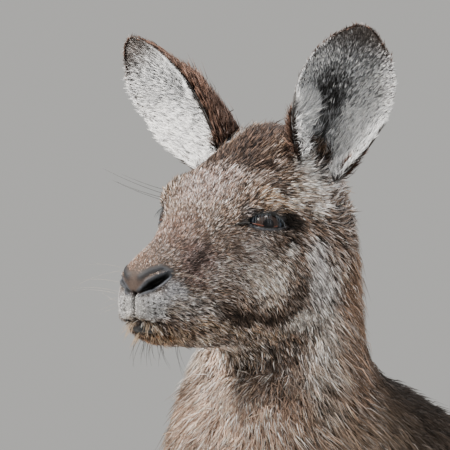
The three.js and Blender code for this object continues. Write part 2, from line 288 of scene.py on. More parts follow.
def clawMaterial():
    # horn of the claws: nearly black, streaked along its length, satin
    material, shader = newMaterial("clawHorn", Roughness=0.38)
    place = addNode(material, "TexCoord").outputs["Object"]
    stretch = addNode(material, "Mapping", {"Vector": place, "Scale": (perCm(9), perCm(1.2), perCm(5))})
    stretched = stretch.outputs["Vector"]
    streaks = addNode(material, "TexNoise", {"Vector": stretched, "Scale": 1.0, "Detail": 3.0})
    rampBetween(material, shader, streaks, linear("#15110f"), linear("#4a4039"))
    relief = streaks.outputs["Fac"]
    bump = addNode(material, "Bump", {"Height": relief, "Strength": 0.3, "Distance": 0.3 * mm})
    drive(material, shader, Normal=bump.outputs["Normal"])
    return material


hair = hairMaterial()
bareSkin = skinMaterial()
eyeGloss = eyeMaterial()
clawHorn = clawMaterial()

# the lie of the coat
# Body: the way the coat runs, which is a heading or towards the middle of the next solid; its hair;
# its tone. Hair is length and width in mm, lift from the skin in degrees, the skin of one tuft in
# square mm, and the depth of the coat in mm.
coatOfBody = {
    "neck": ("chest", (16, 0.72, 26, 1.0, 7.5), "#8a7160"),
    "chest": ("belly", (20, 2.5, 18, 7.6, 7.5), "#8c7a6b"),
    "belly": ("rump", (24, 3.4, 15, 16, 7), "#877667"),
    "rump": ("tail_1", (22, 3.4, 14, 16.5, 6.5), "#725f50"),
    "tail_1": ("tail_2", (18, 3.1, 12, 15, 4.5), "#735f50"),
    "tail_2": ("tail_3", (15, 2.7, 12, 11, 3.8), "#6c594a"),
    "tail_3": ("tail_4", (13, 2.3, 12, 8.5, 3), "#524237"),
    "tail_4": ((0, 1, -0.05), (12, 2.0, 13, 4, 2.6), "#33281f"),
    "thigh": ((0, 0.5, -0.85), (22, 3.4, 13, 17, 6.5), "#7d6a5b"),
    "shank": ((0, 0.6, -0.8), (15, 2.8, 12, 13, 4), "#6f5d4f"),
    "foot": ((0, -1, -0.1), (7, 1.5, 13, 3.6, 1.6), "#4b3d32"),
    "upper_arm": ("forearm", (15, 2.5, 14, 11, 4), "#827060"),
    "forearm": ("hand", (11, 2.0, 13, 7, 2.6), "#675648"),
    "hand": ((0, -0.2, -1), (5.5, 1.2, 14, 2.2, 1.3), "#352a22"),
}
bibCoat = (1.1, 1.2, 1, 1.5, 1)       # hair high on the chest, against that of the neck
bibHeight = (0.575, 0.64)             # the height over which it begins
# Head: where (left side, head measures), how far it reaches, the way it runs, its hair.
coatOfHead = {
    "nosePad": ((0, -97, -38), 7, (0, 0.2, 1), (0.9, 0.35, 18, 0.5, 0.5)),
    "noseTop": ((0, -90, -20), 11, (0, 1, 0.3), (1.6, 0.36, 20, 0.3, 0.8)),
    "bridge": ((0, -50, 3), 22, (0, 1, 0.45), (2.7, 0.46, 24, 0.37, 1.8)),
    "muzzleSide": ((22, -60, -27), 13, (0.2, 1, 0.12), (2.7, 0.46, 25, 0.37, 1.9)),
    "upperLip": ((15, -91, -49), 9, (0.35, 1, -0.1), (1.2, 0.36, 17, 0.34, 0.8)),
    "lipBack": ((25, -74, -54), 8, (0.3, 1, -0.35), (3.2, 0.44, 24, 0.46, 1.4)),
    "lipEdge": ((22, -74, -62), 7, (0.3, 0.8, -0.75), (6.5, 0.5, 36, 0.7, 1.5)),
    "chin": ((8, -80, -76), 9, (0.15, 0.55, -0.75), (5.0, 0.5, 36, 0.7, 1.6)),
    "jaw": ((24, -42, -80), 16, (0.1, 0.9, -0.4), (7.5, 0.65, 26, 0.8, 3)),
    "underEye": ((42, -18, -18), 14, (0.2, 0.95, -0.3), (3.1, 0.46, 25, 0.4, 2)),
    "cheek": ((49, 8, -45), 20, (0.1, 0.6, -0.75), (4.4, 0.48, 25, 0.46, 4)),
    "cheekBack": ((57, 42, -45), 22, (0.05, 0.5, -0.85), (10, 0.8, 28, 0.85, 6)),
    "throat": ((0, 10, -95), 26, (0, 0.5, -0.8), (12, 0.75, 26, 1.0, 6)),
    "brow": ((43, -6, 18), 9, (0.3, 0.95, 0.12), (8.5, 0.6, 30, 0.6, 2.8)),
    "forehead": ((8, -16, 28), 18, (0.1, 0.75, 0.6), (3.4, 0.5, 26, 0.42, 2.6)),
    "foretop": ((22, 12, 44), 15, (0.25, 0.9, 0.35), (6.5, 0.65, 30, 0.68, 3.4)),
    "crown": ((0, 50, 62), 20, (0, 0.9, 0.5), (12, 0.9, 46, 0.9, 6)),
    "earRoot": ((30, 72, 56), 14, (0.3, 0.3, 0.9), (13, 0.85, 44, 0.8, 6)),
    "temple": ((50, 30, 16), 14, (0.1, 0.75, -0.3), (7, 0.65, 28, 0.66, 4)),
    "behindEar": ((50, 78, 18), 18, (0.45, 0.6, 0.3), (14, 0.9, 42, 0.95, 7.5)),
    "nape": ((0, 98, 20), 22, (0, 0.35, -0.95), (16, 1.2, 30, 1.4, 7.5)),
}
headTone = "#806c5f"
fleshNodes = [name for name in nodes if not name.startswith(("claw_", "eye_"))]


def kindOf(name):
    return name.replace("_left", "").replace("_right", "")


def ofKinds(owner, kinds):
    return np.isin(owner, [name for name in fleshNodes if kindOf(name) in kinds])


def headingOf(name):
    way = coatOfBody[kindOf(name)][0]
    if isinstance(way, tuple):
        return unit(np.array(way, float))
    following = way + (name[name.rfind("_"):] if name.endswith(("_left", "_right")) else "")
    return unit(middle(following) - middle(name))


def coatFields(co, edges):
    # nearest solid of each point, then its heading and coat, smoothed into the next one's
    corners, faces, owners = [], [], []
    for name in fleshNodes:
        if name.startswith("ear_"):
            continue
        mesh = nodes[name].data
        start = len(corners)
        corners += [v.co[:] for v in mesh.vertices]
        faces += [[start + k for k in p.vertices] for p in mesh.polygons]
        owners += [name] * len(mesh.polygons)
    tree = BVHTree.FromPolygons(corners, faces)
    owner = np.array([owners[tree.find_nearest(Vector(p))[2]] for p in co])
    heading = np.zeros((len(co), 3))
    coat = np.zeros((len(co), len(coatOfBody["neck"][1])))
    tone = np.zeros((len(co), 3))
    for name in set(owner):
        if kindOf(name) in coatOfBody:
            mine = owner == name
            heading[mine] = headingOf(name)
            coat[mine] = coatOfBody[kindOf(name)][1]
            tone[mine] = linear(coatOfBody[kindOf(name)][2])
    bib = smoothStep(co[:, 2], *bibHeight) * (owner == "chest")
    coat = towards(coat, bib, np.array(coatOfBody["neck"][1]) * bibCoat)
    onSkull = ofKinds(owner, ["head", "lower_jaw"])
    h = headMm(co[onSkull])
    side = np.where(h[:, 0] < 0, -1.0, 1.0)
    mirrored = h * np.stack([side, np.ones_like(side), np.ones_like(side)], 1)
    weights = np.zeros((len(h), len(coatOfHead)))
    for i, (place, reach, _, _) in enumerate(coatOfHead.values()):
        away = np.linalg.norm(mirrored - np.array(place), axis=1) / reach
        weights[:, i] = np.exp(-0.5 * away ** 2) + 1e-3 * np.exp(-away)
    weights /= weights.sum(1, keepdims=True)
    ways = weights @ np.array([unit(np.array(way, float)) for _, _, way, _ in coatOfHead.values()])
    ways[:, 0] *= side * smoothStep(np.abs(h[:, 0]), 0, 6)
    heading[onSkull] = unit(ways)
    coat[onSkull] = weights @ np.array([hairs for _, _, _, hairs in coatOfHead.values()])
    tone[onSkull] = linear(headTone)
    share = np.where(onSkull, 0.15, 0.4)
    heading, coat, tone = (relax(field, edges, share, 24) for field in (heading, coat, tone))
    return owner, unit(heading), coat, tone


# skin
skinPlan = {
    "voxel": 6.8 * mm,                        # first net
    "inflate": 0.5 * mm,                      # closes the thin cuts between the solids
    "neckLine": (27, -101, 0.81, 0.59, 8),    # where the head ends: Y and Z, slopes, room past it
    "nose": (26, -70, -76, -14),              # finest net: half width, back, bottom and top, mm
    "eye": 21 * mm,                           # and this far round the eyes
    "paw": 4 * mm,                            # fine net: this far round hands and feet
    "earWall": 1.3 * mm,                      # coat on each face of an ear
    "sole": 20 * mm,                          # below this, skin that faces down is bare
    "ground": (-2 * mm, 12 * mm),             # the coat thins out over these heights
}


def weldedNode(name):
    net = bmesh.new()
    net.from_mesh(nodes[name].data)
    bmesh.ops.remove_doubles(net, verts=net.verts, dist=weld)
    return net


def remade(net, kind, **settings):
    # the net after one modifier
    rough = addObject("rough", toMesh(net, "rough"))
    modifier = rough.modifiers.new("remade", kind)
    for key, value in settings.items():
        setattr(modifier, key, value)
    net = bmesh.new()
    net.from_mesh(evaluated(rough).to_mesh())
    bpy.data.objects.remove(rough)
    return net


def bodyShell(names):
    shell = bmesh.new()
    for name in names:
        part = weldedNode(name)
        part.normal_update()
        for v in part.verts:
            v.co += v.normal * skinPlan["inflate"]
        mesh = toMesh(part, "part")
        shell.from_mesh(mesh)
        bpy.data.meshes.remove(mesh)
    return remade(shell, "REMESH", mode="VOXEL", voxel_size=skinPlan["voxel"])


def coordsOf(net):
    return np.array([v.co[:] for v in net.verts])


def edgesOf(net):
    return np.array([[v.index for v in e.verts] for e in net.edges])


def trisOf(net):
    bmesh.ops.triangulate(net, faces=net.faces)
    net.verts.index_update()
    return np.array([[v.index for v in f.verts] for f in net.faces])


def easeNet(net, wanted, passes, share=0.5):
    net.verts.index_update()
    co = coordsOf(net)
    eased = relax(co, edgesOf(net), share * wanted(co).astype(float), passes)
    for v, p in zip(net.verts, eased):
        v.co = p


def refine(net, wanted):
    flags = wanted(coordsOf(net))
    net.verts.index_update()
    inside = [e for e in net.edges if flags[e.verts[0].index] and flags[e.verts[1].index]]
    bmesh.ops.subdivide_edges(net, edges=inside, cuts=1, use_grid_fill=True)
    easeNet(net, wanted, 2, 0.38)


def onHead(co):
    h = headMm(co)
    y, z, slopeY, slopeZ, room = skinPlan["neckLine"]
    return slopeY * (h[:, 1] - y) - slopeZ * (h[:, 2] - z) < room


def onFaceDetail(co):
    h = headMm(co)
    halfWidth, back, bottom, top = skinPlan["nose"]
    nose = (np.abs(h[:, 0]) < halfWidth) & (h[:, 1] < back) & (h[:, 2] > bottom) & (h[:, 2] < top)
    eyes = np.min([np.linalg.norm(co - eyeCentre[s], axis=1) for s in leftRight], axis=0) < skinPlan["eye"]
    return nose | eyes


def onPaws(co):
    paws = np.zeros(len(co), bool)
    for name in ("hand_left", "hand_right", "foot_left", "foot_right"):
        low, high = (np.array(end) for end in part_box(name))
        paws |= np.all((co > low - skinPlan["paw"]) & (co < high + skinPlan["paw"]), axis=1)
    return paws


# Lids: the opening of the left eye in a frame of its own, mm. X runs from the inner corner to the
# outer one, Z up, W out of the head. A fold is its height, its distance from the opening, its width.
lidPlan = {
    "halfWidth": 14.5,
    "upper": 7.1,
    "lower": 3.3,
    "corner": 0.5,
    "out": (0.806, -0.584, 0.10),   # W and X of the frame
    "across": (0.589, 0.802, -0.104),
    "wall": 1.5,                    # thickness of the lids over the eyeball
    "around": 24,                   # how far the skin of the lids reaches
    "behind": -2,                   # and its lowest W
    "sink": (1.2, 2.5),             # in the opening: how far into the ball, and the least drop
    "edgeSink": (1.5, 3.0),         # this near the ball's outline the drop is this
    "crease": (1.1, 4.2, 1.1),      # over the upper lid
    "bag": (0.7, 3.6, 1.0),         # under the lower one
    "rim": (0.9, 7.5, 2.5),         # soft rim round both
}


def eyeFrame(side):
    out = unit(np.array(lidPlan["out"]) * (side, 1, 1))
    across = unit(np.array(lidPlan["across"]) * (side, 1, 1))
    across = unit(across - out * (across @ out))
    up = np.cross(out, across) * side
    return across, up, out


def inEyeFrame(co, side):
    rel = (co - eyeCentre[side]) / mm
    x, z, w = (rel @ axis for axis in eyeFrame(side))
    return x, z, w, (np.hypot(x, z) < lidPlan["around"]) & (w > lidPlan["behind"])


def fromEyeFrame(x, z, w, side):
    across, up, out = eyeFrame(side)
    x, z, w = (np.atleast_1d(v)[:, None] for v in (x, z, w))
    return eyeCentre[side] + (x * across + z * up + w * out) * mm


def lidEdges(x):
    bow = np.clip(1 - (x / lidPlan["halfWidth"]) ** 2, 0, 1)
    upper = lidPlan["corner"] + lidPlan["upper"] * bow ** 0.8
    return upper, lidPlan["corner"] - lidPlan["lower"] * bow ** 0.9


def lidGap(x, z):
    # distance from the opening, below zero inside it
    upper, lower = lidEdges(x)
    inside = np.maximum(z - upper, lower - z)
    past = np.hypot(np.maximum(np.abs(x) - lidPlan["halfWidth"], 0), np.maximum(inside, 0))
    return np.where(np.abs(x) < lidPlan["halfWidth"], inside, past)


def ballHeight(x, z, radius):
    return np.sqrt(np.maximum(radius ** 2 - x ** 2 - z ** 2, 0))


def shapeLids(co):
    radius = eyeRadius / mm
    for side in leftRight:
        x, z, w, near = inEyeFrame(co, side)
        gap = lidGap(x, z)
        over = ballHeight(x, z, radius + lidPlan["wall"])
        lidded = np.where(np.hypot(x, z) < radius + lidPlan["wall"], np.maximum(w, over), w)
        crease, bag, rim = (height * swell(gap - place, width)
                            for height, place, width in (lidPlan[key] for key in ("crease", "bag", "rim")))
        lidded = lidded - crease * (z > 0) - bag * (z < 0) + rim
        inBall, least = lidPlan["sink"]
        atEdge, edgeDrop = lidPlan["edgeSink"]
        sunk = np.minimum(ballHeight(x, z, radius - inBall), w - least)
        sunk = np.where(np.hypot(x, z) > radius - atEdge, w - edgeDrop, sunk)
        move = np.where(near, np.where(gap < 0, sunk, lidded) - w, 0)
        co = co + move[:, None] * mm * eyeFrame(side)[2]
    return co


# Creases of the face, left side, head measures.
faceLines = {
    "nostril": [(5, -97, -42.5), (8.5, -96.6, -40), (13.2, -94.9, -36.8), (16.3, -90.1, -34.3),
                (18.3, -82.5, -31)],
    "alar": [(6, -97, -31), (10.5, -93, -27.5), (15.5, -84.5, -25.5), (18.5, -78.5, -28.5)],
    "mouth": [(0, -92.5, -61), (10, -89.5, -62.5), (18.5, -84.8, -64.3), (22.4, -71.5, -66.5),
              (23.3, -53, -70.4), (24.5, -40, -72)],
    "pad": [(0, -97.5, -44), (5, -97, -42)],
    "tear": [(36.5, -17.5, 2.0), (33.7, -25.0, 0.5), (27.2, -34.5, -1.5)],
    "lip": [(0, -89.5, -67.5), (6.5, -86.8, -68.2)],
    "cleft": [(0, -98, -43), (0, -95.5, -60.5)],
}
# Along each: how high the face swells there (a groove is below zero) and how widely, then how wide
# the skin is bare, then its stain's width, colour and strength. One width is that of a soft bell,
# two are where a flat top starts and stops to fade.
faceCarvings = {
    "alar": (1.4, 2.8, (1.8, 3.4), 3.0, "#1c1f24", 0.92),
    "mouth": (-1, 1.4, (1.1, 2.1), 2.0, "#0c0908", 1.0),      # times the depth below
    "pad": (-2.0, 1.3, 0.9, 1.0, "#2a1d17", 0.8),
    "tear": (-1.4, 1.1, 1.1, 1.6, "#0d0a09", 0.95),
    "lip": (2.2, 3.6, (2.6, 4.0), (2.4, 4.2), "#101215", 0.97),
    "cleft": (-3.0, 1.2, (0.7, 1.5), 1.5, "#0c0908", 1.0),
    "pores": (-0.4, 0.7, (0.5, 1.1), (0.6, 1.3), "#15110f", 1.0),
}
nostrilPlan = {
    "radius": ([0, 0.25, 0.5, 0.8, 1], [0.7, 1.6, 2.5, 2.5, 1.4]),      # from its start to its end
    "depth": ([0, 0.3, 0.7, 1], [2, 5, 8, 5]),
    "rim": (1.3, 1.4, 1.3),               # height, distance from the hole, width
    "bare": (1.0, 2.6),
    "stains": (((0.6, 3.4), "#3a3e45", 0.95), ((-0.4, 0.7), "#060504", 1.0)),
}
mouthPlan = {
    "depth": ([0, 0.4, 1], [5.0, 4.0, 1.8]),
    "line": ([-92, -85, -70, -40], [-61, -64.3, -66.5, -72]),      # Y and Z, parts upper and lower lip
    "roll": (4, 2.6),                     # each lip is full this far from the line, and this wide
    "upper": (1.4, 45, 70),               # height, and between which places it grows to it
    "lower": (-1.0, 60, 80),
}
tearBareFrom = -27                        # Y, further forward the tear line has hair
# How far the face swells round a place, mm: place, reach along X, Y and Z, height.
faceSwells = {
    "lipLobe": ((10, -93, -52), (8, 8, 7), 2.1),
    "brow": ((44, -8, 17), (11, 12, 8), 2.0),
    "notch": ((14.5, -93, -40), (4.8, 4.8, 4.8), -4.2),
}
# The nose pad: its middle, its reach, where it stops being bare, its stain.
nosePad = ((0, -98, -36), (15, 12, 8.5), (0.75, 1.1), ((0.8, 1.25), "#3d312b", 1.0))
# Whisker roots on the lip: rows at these heights, columns at these places.
poreRows = (-45.5, -49, -52.5, -56)
poreColumns = [(7.5, -96), (11, -94.5), (14.5, -92.5), (17.5, -90), (20, -87), (22, -83.5), (23.5, -79.5)]
lipArea = (-70, -40)                      # pores lie before this Y and below this Z
stains = []      # colours of bare skin, laid one over the other: where, colour, strength


def stain(cover, colour, strength):
    stains.append((cover, colour, strength))


def spreadOf(d, width):
    return fade(d, *width) if isinstance(width, tuple) else swell(d, width)


def settled(line, tree, side):
    return onto(tree, fromHead([(side * x, y, z) for x, y, z in line]))


def swellAt(h, key, side):
    place, reach, height = faceSwells[key]
    return height * swell(np.linalg.norm((h - np.array(place) * (side, 1, 1)) / reach, axis=1), 1)


def poreGap(points):
    gap = np.full(len(points), 1.0)
    h = headMm(points)
    close = np.flatnonzero((h[:, 1] < lipArea[0]) & (h[:, 2] < lipArea[1]))
    if len(close):
        gap[close] = np.linalg.norm(points[close, None] - pores[None], axis=2).min(1)
    return gap


def shapeFace(co, tris):
    # carves nostrils, mouth, pad edge and tear lines, and notes bare skin and its colours
    normals = vertexNormals(co, tris)
    tree = BVHTree.FromPolygons(co.tolist(), tris.tolist())
    shift = np.zeros(len(co))
    bare = np.zeros(len(co))
    h = headMm(co)

    def alongLine(name, side):
        d, t = lineDistance(co, settled(faceLines[name], tree, side))
        return d / mm, t

    def strip(cover):
        bare[:] = np.maximum(bare, cover)

    def carve(key, d, depth=1, hairless=1):
        height, width, bareWidth, stainWidth, colour, strength = faceCarvings[key]
        shift[:] += height * depth * swell(d, width)
        strip(spreadOf(d, bareWidth) * hairless)
        stain(spreadOf(d, stainWidth), colour, strength)

    for side in leftRight:
        d, t = alongLine("nostril", side)
        hole = np.interp(t, *nostrilPlan["radius"])
        shift -= np.sqrt(np.clip(1 - (d / hole) ** 2, 0, 1)) * np.interp(t, *nostrilPlan["depth"])
        height, gap, width = nostrilPlan["rim"]
        shift += height * swell(d - hole - gap, width) * smoothStep(t, 0.2, 0.5)
        strip(fade(d - hole, *nostrilPlan["bare"]))
        for width, colour, strength in nostrilPlan["stains"]:
            stain(fade(d - hole, *width), colour, strength)
        carve("alar", alongLine("alar", side)[0])
        carve("pad", alongLine("pad", side)[0])
        d, t = alongLine("mouth", side)
        carve("mouth", d, np.interp(t, *mouthPlan["depth"]))
        upperLip = h[:, 2] > np.interp(h[:, 1], *mouthPlan["line"])
        gap, width = mouthPlan["roll"]
        height, back, front = mouthPlan["upper"]
        shift += height * swell(d - gap, width) * upperLip * smoothStep(-h[:, 1], back, front)
        shift += swellAt(h, "lipLobe", side)
        shift += swellAt(h, "brow", side)
        height, back, front = mouthPlan["lower"]
        shift += height * swell(d - gap, width) * ~upperLip * smoothStep(-h[:, 1], back, front)
        carve("tear", alongLine("tear", side)[0], 1, h[:, 1] > tearBareFrom)
        carve("lip", alongLine("lip", side)[0])
    for side in leftRight:
        shift += swellAt(h, "notch", side)
    middleOfPad, reach, bareWidth, (stainWidth, colour, strength) = nosePad
    pad = np.linalg.norm((h - middleOfPad) / reach, axis=1)
    strip(fade(pad, *bareWidth))
    stains.insert(0, (fade(pad, *stainWidth), colour, strength))
    carve("cleft", alongLine("cleft", 1)[0])
    carve("pores", poreGap(co) / mm)
    return co + normals * shift[:, None] * mm, bare


def earNet(name):
    net = remade(weldedNode(name), "SUBSURF", levels=2, render_levels=2)
    net.normal_update()
    for v in net.verts:
        v.co -= v.normal * skinPlan["earWall"]
    return net


def earFrame(name):
    side = 1 if name == "ear_left" else -1
    co = np.array([v.co[:] for v in nodes[name].data.vertices])
    centre = co.mean(0)
    along, across, opening = np.linalg.svd(co - centre, full_matrices=False)[2]
    along = along * np.sign(along[2])
    across = across * np.sign(across[0] * side)
    opening = opening * np.sign(-opening[1])
    reach = (co - centre) @ along
    half = np.abs((co - centre) @ across).max()
    return dict(side=side, centre=centre, along=along, across=across, opening=opening,
                low=reach.min(), high=reach.max(), half=half)


def inEarFrame(co, ear):
    # U from the root, -1, to the tip, 1; S from the inner edge to the outer one; out of the cup, mm
    rel = co - ear["centre"]
    u = 2 * (rel @ ear["along"] - ear["low"]) / (ear["high"] - ear["low"]) - 1
    return u, (rel @ ear["across"]) / ear["half"], (rel @ ear["opening"]) / mm


print("laying the skin")
bodyNet = bodyShell([name for name in nodes if not name.startswith(("claw_", "ear_"))])
easeNet(bodyNet, lambda co: ~onHead(co), 16)
easeNet(bodyNet, onHead, 8)
refine(bodyNet, lambda co: onHead(co) | onPaws(co))
refine(bodyNet, onHead)
refine(bodyNet, onFaceDetail)
skinTris = trisOf(bodyNet)
skinCo = coordsOf(bodyNet)
skinEdges = edgesOf(bodyNet)
bodyNet.free()

owner, heading, coat, tone = coatFields(skinCo, skinEdges)
normals = vertexNormals(skinCo, skinTris)
sole = smoothStep(-normals[:, 2], 0.3, 0.7) * (skinCo[:, 2] < skinPlan["sole"])
inward = coat[:, 4] * mm * (1 - sole) * smoothStep(skinCo[:, 2], *skinPlan["ground"])
skinCo = shapeLids(skinCo - normals * inward[:, None])
faceTree = BVHTree.FromPolygons(skinCo.tolist(), skinTris.tolist())
poreRolls = np.random.default_rng(8)
poreSpots = [(x + 0.4 * k, y, z - 0.22 * (x - 14) + poreRolls.uniform(-0.5, 0.5))
             for k, z in enumerate(poreRows) for x, y in poreColumns]
pores = np.concatenate([settled(poreSpots, faceTree, side) for side in leftRight])
skinCo, bare = shapeFace(skinCo, skinTris)
skinCo[:, 2] = np.maximum(skinCo[:, 2], floorGap)
bare = np.maximum(bare, sole)
normals = vertexNormals(skinCo, skinTris)
print("face shaped")

# markings
# Left side, head measures: place or line, reach, colour, strength. Laid one over the other. A place
# with X below zero marks the right side only.
headMarkings = {
    "throat": ((0, 10, -95), 34, "#a08e7f", 0.8),
    "nape": ((0, 98, 20), 36, "#43352b", 0.95),
    "forehead": ((4, -16, 29), 23, "#917a70", 0.95),
    "bridge": ((4, -58, 1), 22, "#785d4f", 0.9),
    "noseTop": ((0, -90, -20), 13, "#896d5d", 0.95),
    "muzzleSide": ((23, -55, -25), 17, "#81665e", 0.9),
    "streak": (((24.2, -50, -16), (23.5, -55, -23), (23.2, -66, -32.5), (24.6, -74.3, -42.2)),
        5.5, "#3a2f2b", 0.8),
    "muzzleBack": (((29, -47, -33), (36, -32, -28), (39.6, -26, -36)), 8, "#a59287", 0.8),
    "noseSide": (((22.5, -83, -42), (25, -77, -40)), 8, "#c6c6cc", 0.85),
    "lipBack": (((26, -73, -53), (28, -59, -53), (28, -50, -55)), 8, "#a39994", 0.75),
    "upperLip": ((14, -92, -51), 11, "#ebebef", 1.0),
    "lipFront": (((0, -98, -42), (3, -95, -55)), 7, "#ffffff", 0.95),
    "chin": ((8, -78, -77), 13, "#68492f", 0.95),
    "chinFront": (((3, -93, -61), (6, -87, -67)), 5, "#c4ad98", 0.75),
    "jaw": ((19, -63, -77), 11.5, "#57422f", 0.85),
    "cheekMid": ((46, -6, -34), 20, "#c6b6aa", 0.95),
    "underEye": ((43, -14, -14), 12, "#a99890", 0.9),
    "cheekDark": (((54, 23, -40), (50, 17, -60)), 9, "#3a322d", 0.7),
    "cheekBack": ((57, 44, -46), 16, "#aea8a8", 0.95),
    "cheekSilver": (((57, 36, -18), (58.5, 38, -38)), 11, "#bbb6b7", 0.8),
    "cheekRear": (((60, 51, -20), (59, 58, -50)), 8, "#aba4a2", 0.65),
    "jawSilver": (((46, 30, -66), (56, 52, -66), (52, 46, -84)), 11, "#cfc8c2", 0.8),
    "cheekLow": (((27, -35, -57.5), (33, -20, -62), (38, -3, -65.5), (43, 12, -66)), 7.5, "#1f1814", 0.9),
    "lipEnd": (((32, -41, -56), (35, -30, -58)), 6, "#2f2722", 0.75),
    "jawFringe": ((42, 18, -72), 8, "#b0a296", 0.6),
    "jawPale": (((25, -58, -64.5), (26, -47, -67), (27, -18, -73), (31, 5, -76.5), (37, 25, -78)),
        6, "#ac9278", 0.75),
    "foretop": ((40, 26, 35), 10, "#7a6554", 0.9),
    "brow": (((43.5, -5, 16.5), (47.5, 10, 14.5)), 8, "#c9a788", 0.85),
    "browDark": (((35.6, -18.5, 12), (38.5, -15, 7.5)), 5, "#595a60", 0.55),
    "temple": ((51, 46, 22), 15, "#cdbfb4", 0.95),
    "templeDark": (((54, 61, 9), (57, 57, -6)), 6.5, "#4b3f36", 0.75),
    "templeLow": ((53.5, 39, 7), 7, "#ddd2c8", 0.7),
    "earFoot": (((44, 42, 30), (45, 60, 33), (48, 69, 22)), 9, "#e6e0dc", 0.85),
    "crown": (((0, 28, 53), (0, 72, 60)), 25, "#3c2b21", 0.95),
    "crownFront": (((10, 10, 44), (22, 14, 41)), 12, "#37281f", 0.85),
    "crownSide": (((22, 30, 50), (33, 62, 55)), 11, "#5f4a3a", 0.9),
    "earBehind": (((40, 85, 25), (45, 84, 15), (51, 76, 7)), 11, "#8f7c6c", 0.8),
    "earRoot": ((34, 74, 48), 18, "#766150", 0.95),
    # painted shade: near black behind the eye, where the shade of the brow falls
    "behindEye": (((47.5, 9, 4), (51, 17, 2)), 9, "#0b0908", 0.97),
    "templeTop": (((45, 31, 26.4), (48.6, 40.6, 22.6), (47, 20, 17)), 8, "#c9b6a5", 0.8),
    # painted shade: the same near black, carried down below the back of the eye
    "behindEyeLow": ((51.5, 14.5, -8.5), 7, "#0d0a09", 0.95),
    "browBack": ((50, 13, 16.5), 6.5, "#c9a488", 0.9),
    "lidShade": ((43, -5, 1), 7.5, "#443f40", 0.7),
    "cheekRing": ((53, 13.5, -18), 8, "#4d433d", 0.35),
    "cheekSpot": ((52.5, 13.2, -16.8), 5, "#f0ebe6", 0.95),
    "tearHair": ((34.5, -22, 1.3), 3, "#241f1c", 0.85),
    "throatPale": (((-4, 8, -112), (4, 0, -94)), 18, "#e8d0c2", 0.9),
    "jawShade": (((18, -13, -81.5), (23, 2, -83.5), (28, 13, -85), (26, 24, -89)), 6.5, "#120d0b", 0.97),
    "jawUnder": (((18, -47, -78), (15, -33, -81)), 6.5, "#c9b5a1", 0.85),
    "throatLow": ((2, 6, -138), 17, "#c4ac9e", 0.8),
    # painted light: a pale pool of sunlight on the right side of the throat only
    "throatRight": (((-31, 34, -92), (-28, 23, -107), (-20, 13, -118)), 13, "#f2d7c6", 0.95),
    # painted shadow: a dark band on the neck where the jaw's shadow falls
    "neckStripe": (((30, 27, -104), (38, 20, -114)), 9, "#43362c", 0.75),
    "neckStripeLow": ((22, 18, -141), 10, "#c4b3a6", 0.8),
    "neckPatch": (((2, 6, -130), (38, 8, -136)), 14, "#cfb2a0", 0.85),
    "neckSilver": ((54, 40, -98), 19, "#c8beb5", 0.55),
    "neckSilverLow": ((60, 38, -126), 13, "#a89c92", 0.6),
    # painted shade: the pale stripe from ear to eye darkened on the right side only, where the key lamp
    # lights it most
    "stripeRight": (((-46, 58, 32), (-44, 38, 28), (-43, 12, 22), (-39, -10, 23)), 12, "#7f6d5e", 0.85),
}
# Trunk and thighs: colour, strength.
bodyMarkings = {
    "upper": ("#4a3c31", 0.75),
    # painted shade: a darker band along the spine that blends the painted shade of the back into the rest
    "spine": ("#2c221b", 0.6),
    # painted shade: the back near black around the shoulders, as if it were in shade
    "saddle": ("#1c1511", 0.85),
    "under": ("#aa9c90", 0.75),
    "bib": ("#bfa493", 0.9),
}
# middle of the painted shade on the back
backShadePlace = (35, 150, 132)      # head measures, both sides
lidColours = {"upper": "#34363c", "inner": "#30363e", "lash": "#0c0a09", "edge": "#141110",
              "coat": "#3c3b3e"}
# the skin under the coat is darker than the coat, and set darker still as painted shade between the tufts
bareShade = {"body": 0.16, "ear": 0.2}      # the skin under the coat, against the coat's tone
# the darkest colour here is painted shade in the hollow of the ears
earMarkings = {"inside": "#d8dbe0", "deep": "#171514", "back": "#49352b", "tip": "#5b4b42",
               "white": "#f2f3f6", "cup": "#e0dad4"}


def markBody(tone, co, normals, owner):
    # back and nape dark, with painted shade over the shoulders and along the spine, flanks as they are,
    # throat, chest and belly pale
    trunk = ofKinds(owner, ["neck", "chest", "belly", "rump", "tail_1", "tail_2", "thigh", "upper_arm"])
    nx, ny, nz = normals.T
    # distance from the middle of the painted shade on the back
    saddle = np.linalg.norm(np.abs(headMm(co)) - backShadePlace, axis=1)
    covers = {
        "upper": smoothStep(0.85 * nz + 0.65 * ny, 0.25, 1.0),
        "spine": swell(co[:, 0] / mm, 48) * smoothStep(0.5 * ny + nz, 0.1, 0.9),
        "saddle": fade(saddle, 25, 125) * smoothStep(0.5 * ny + nz, -0.3, 0.45),
        "under": smoothStep(-0.75 * nz - 0.75 * ny - 0.25 * np.abs(nx), 0.1, 0.9),
        "bib": swell(co[:, 0] / mm, 42) * smoothStep(-ny, 0.0, 0.5),
    }
    for name, (colour, strength) in bodyMarkings.items():
        tone = towards(tone, covers[name] * trunk * strength, colour)
    return tone


def markHead(tone, co):
    h = headMm(co)
    uneven = 2.6 * ripples(co, 12 * mm, 9)
    mirrored = np.concatenate([np.abs(h[:, :1]), h[:, 1:]], 1)
    for place, reach, colour, strength in headMarkings.values():
        points = np.atleast_2d(np.array(place, float))
        seen = uneven + (h if points[0, 0] < 0 else mirrored)
        if len(points) == 1:
            away = np.linalg.norm(seen - points, axis=1) / reach
        else:
            away = lineDistance(seen, points)[0] / reach
        tone = towards(tone, strength * fade(away, 0.45, 1.3), colour)
    return tone


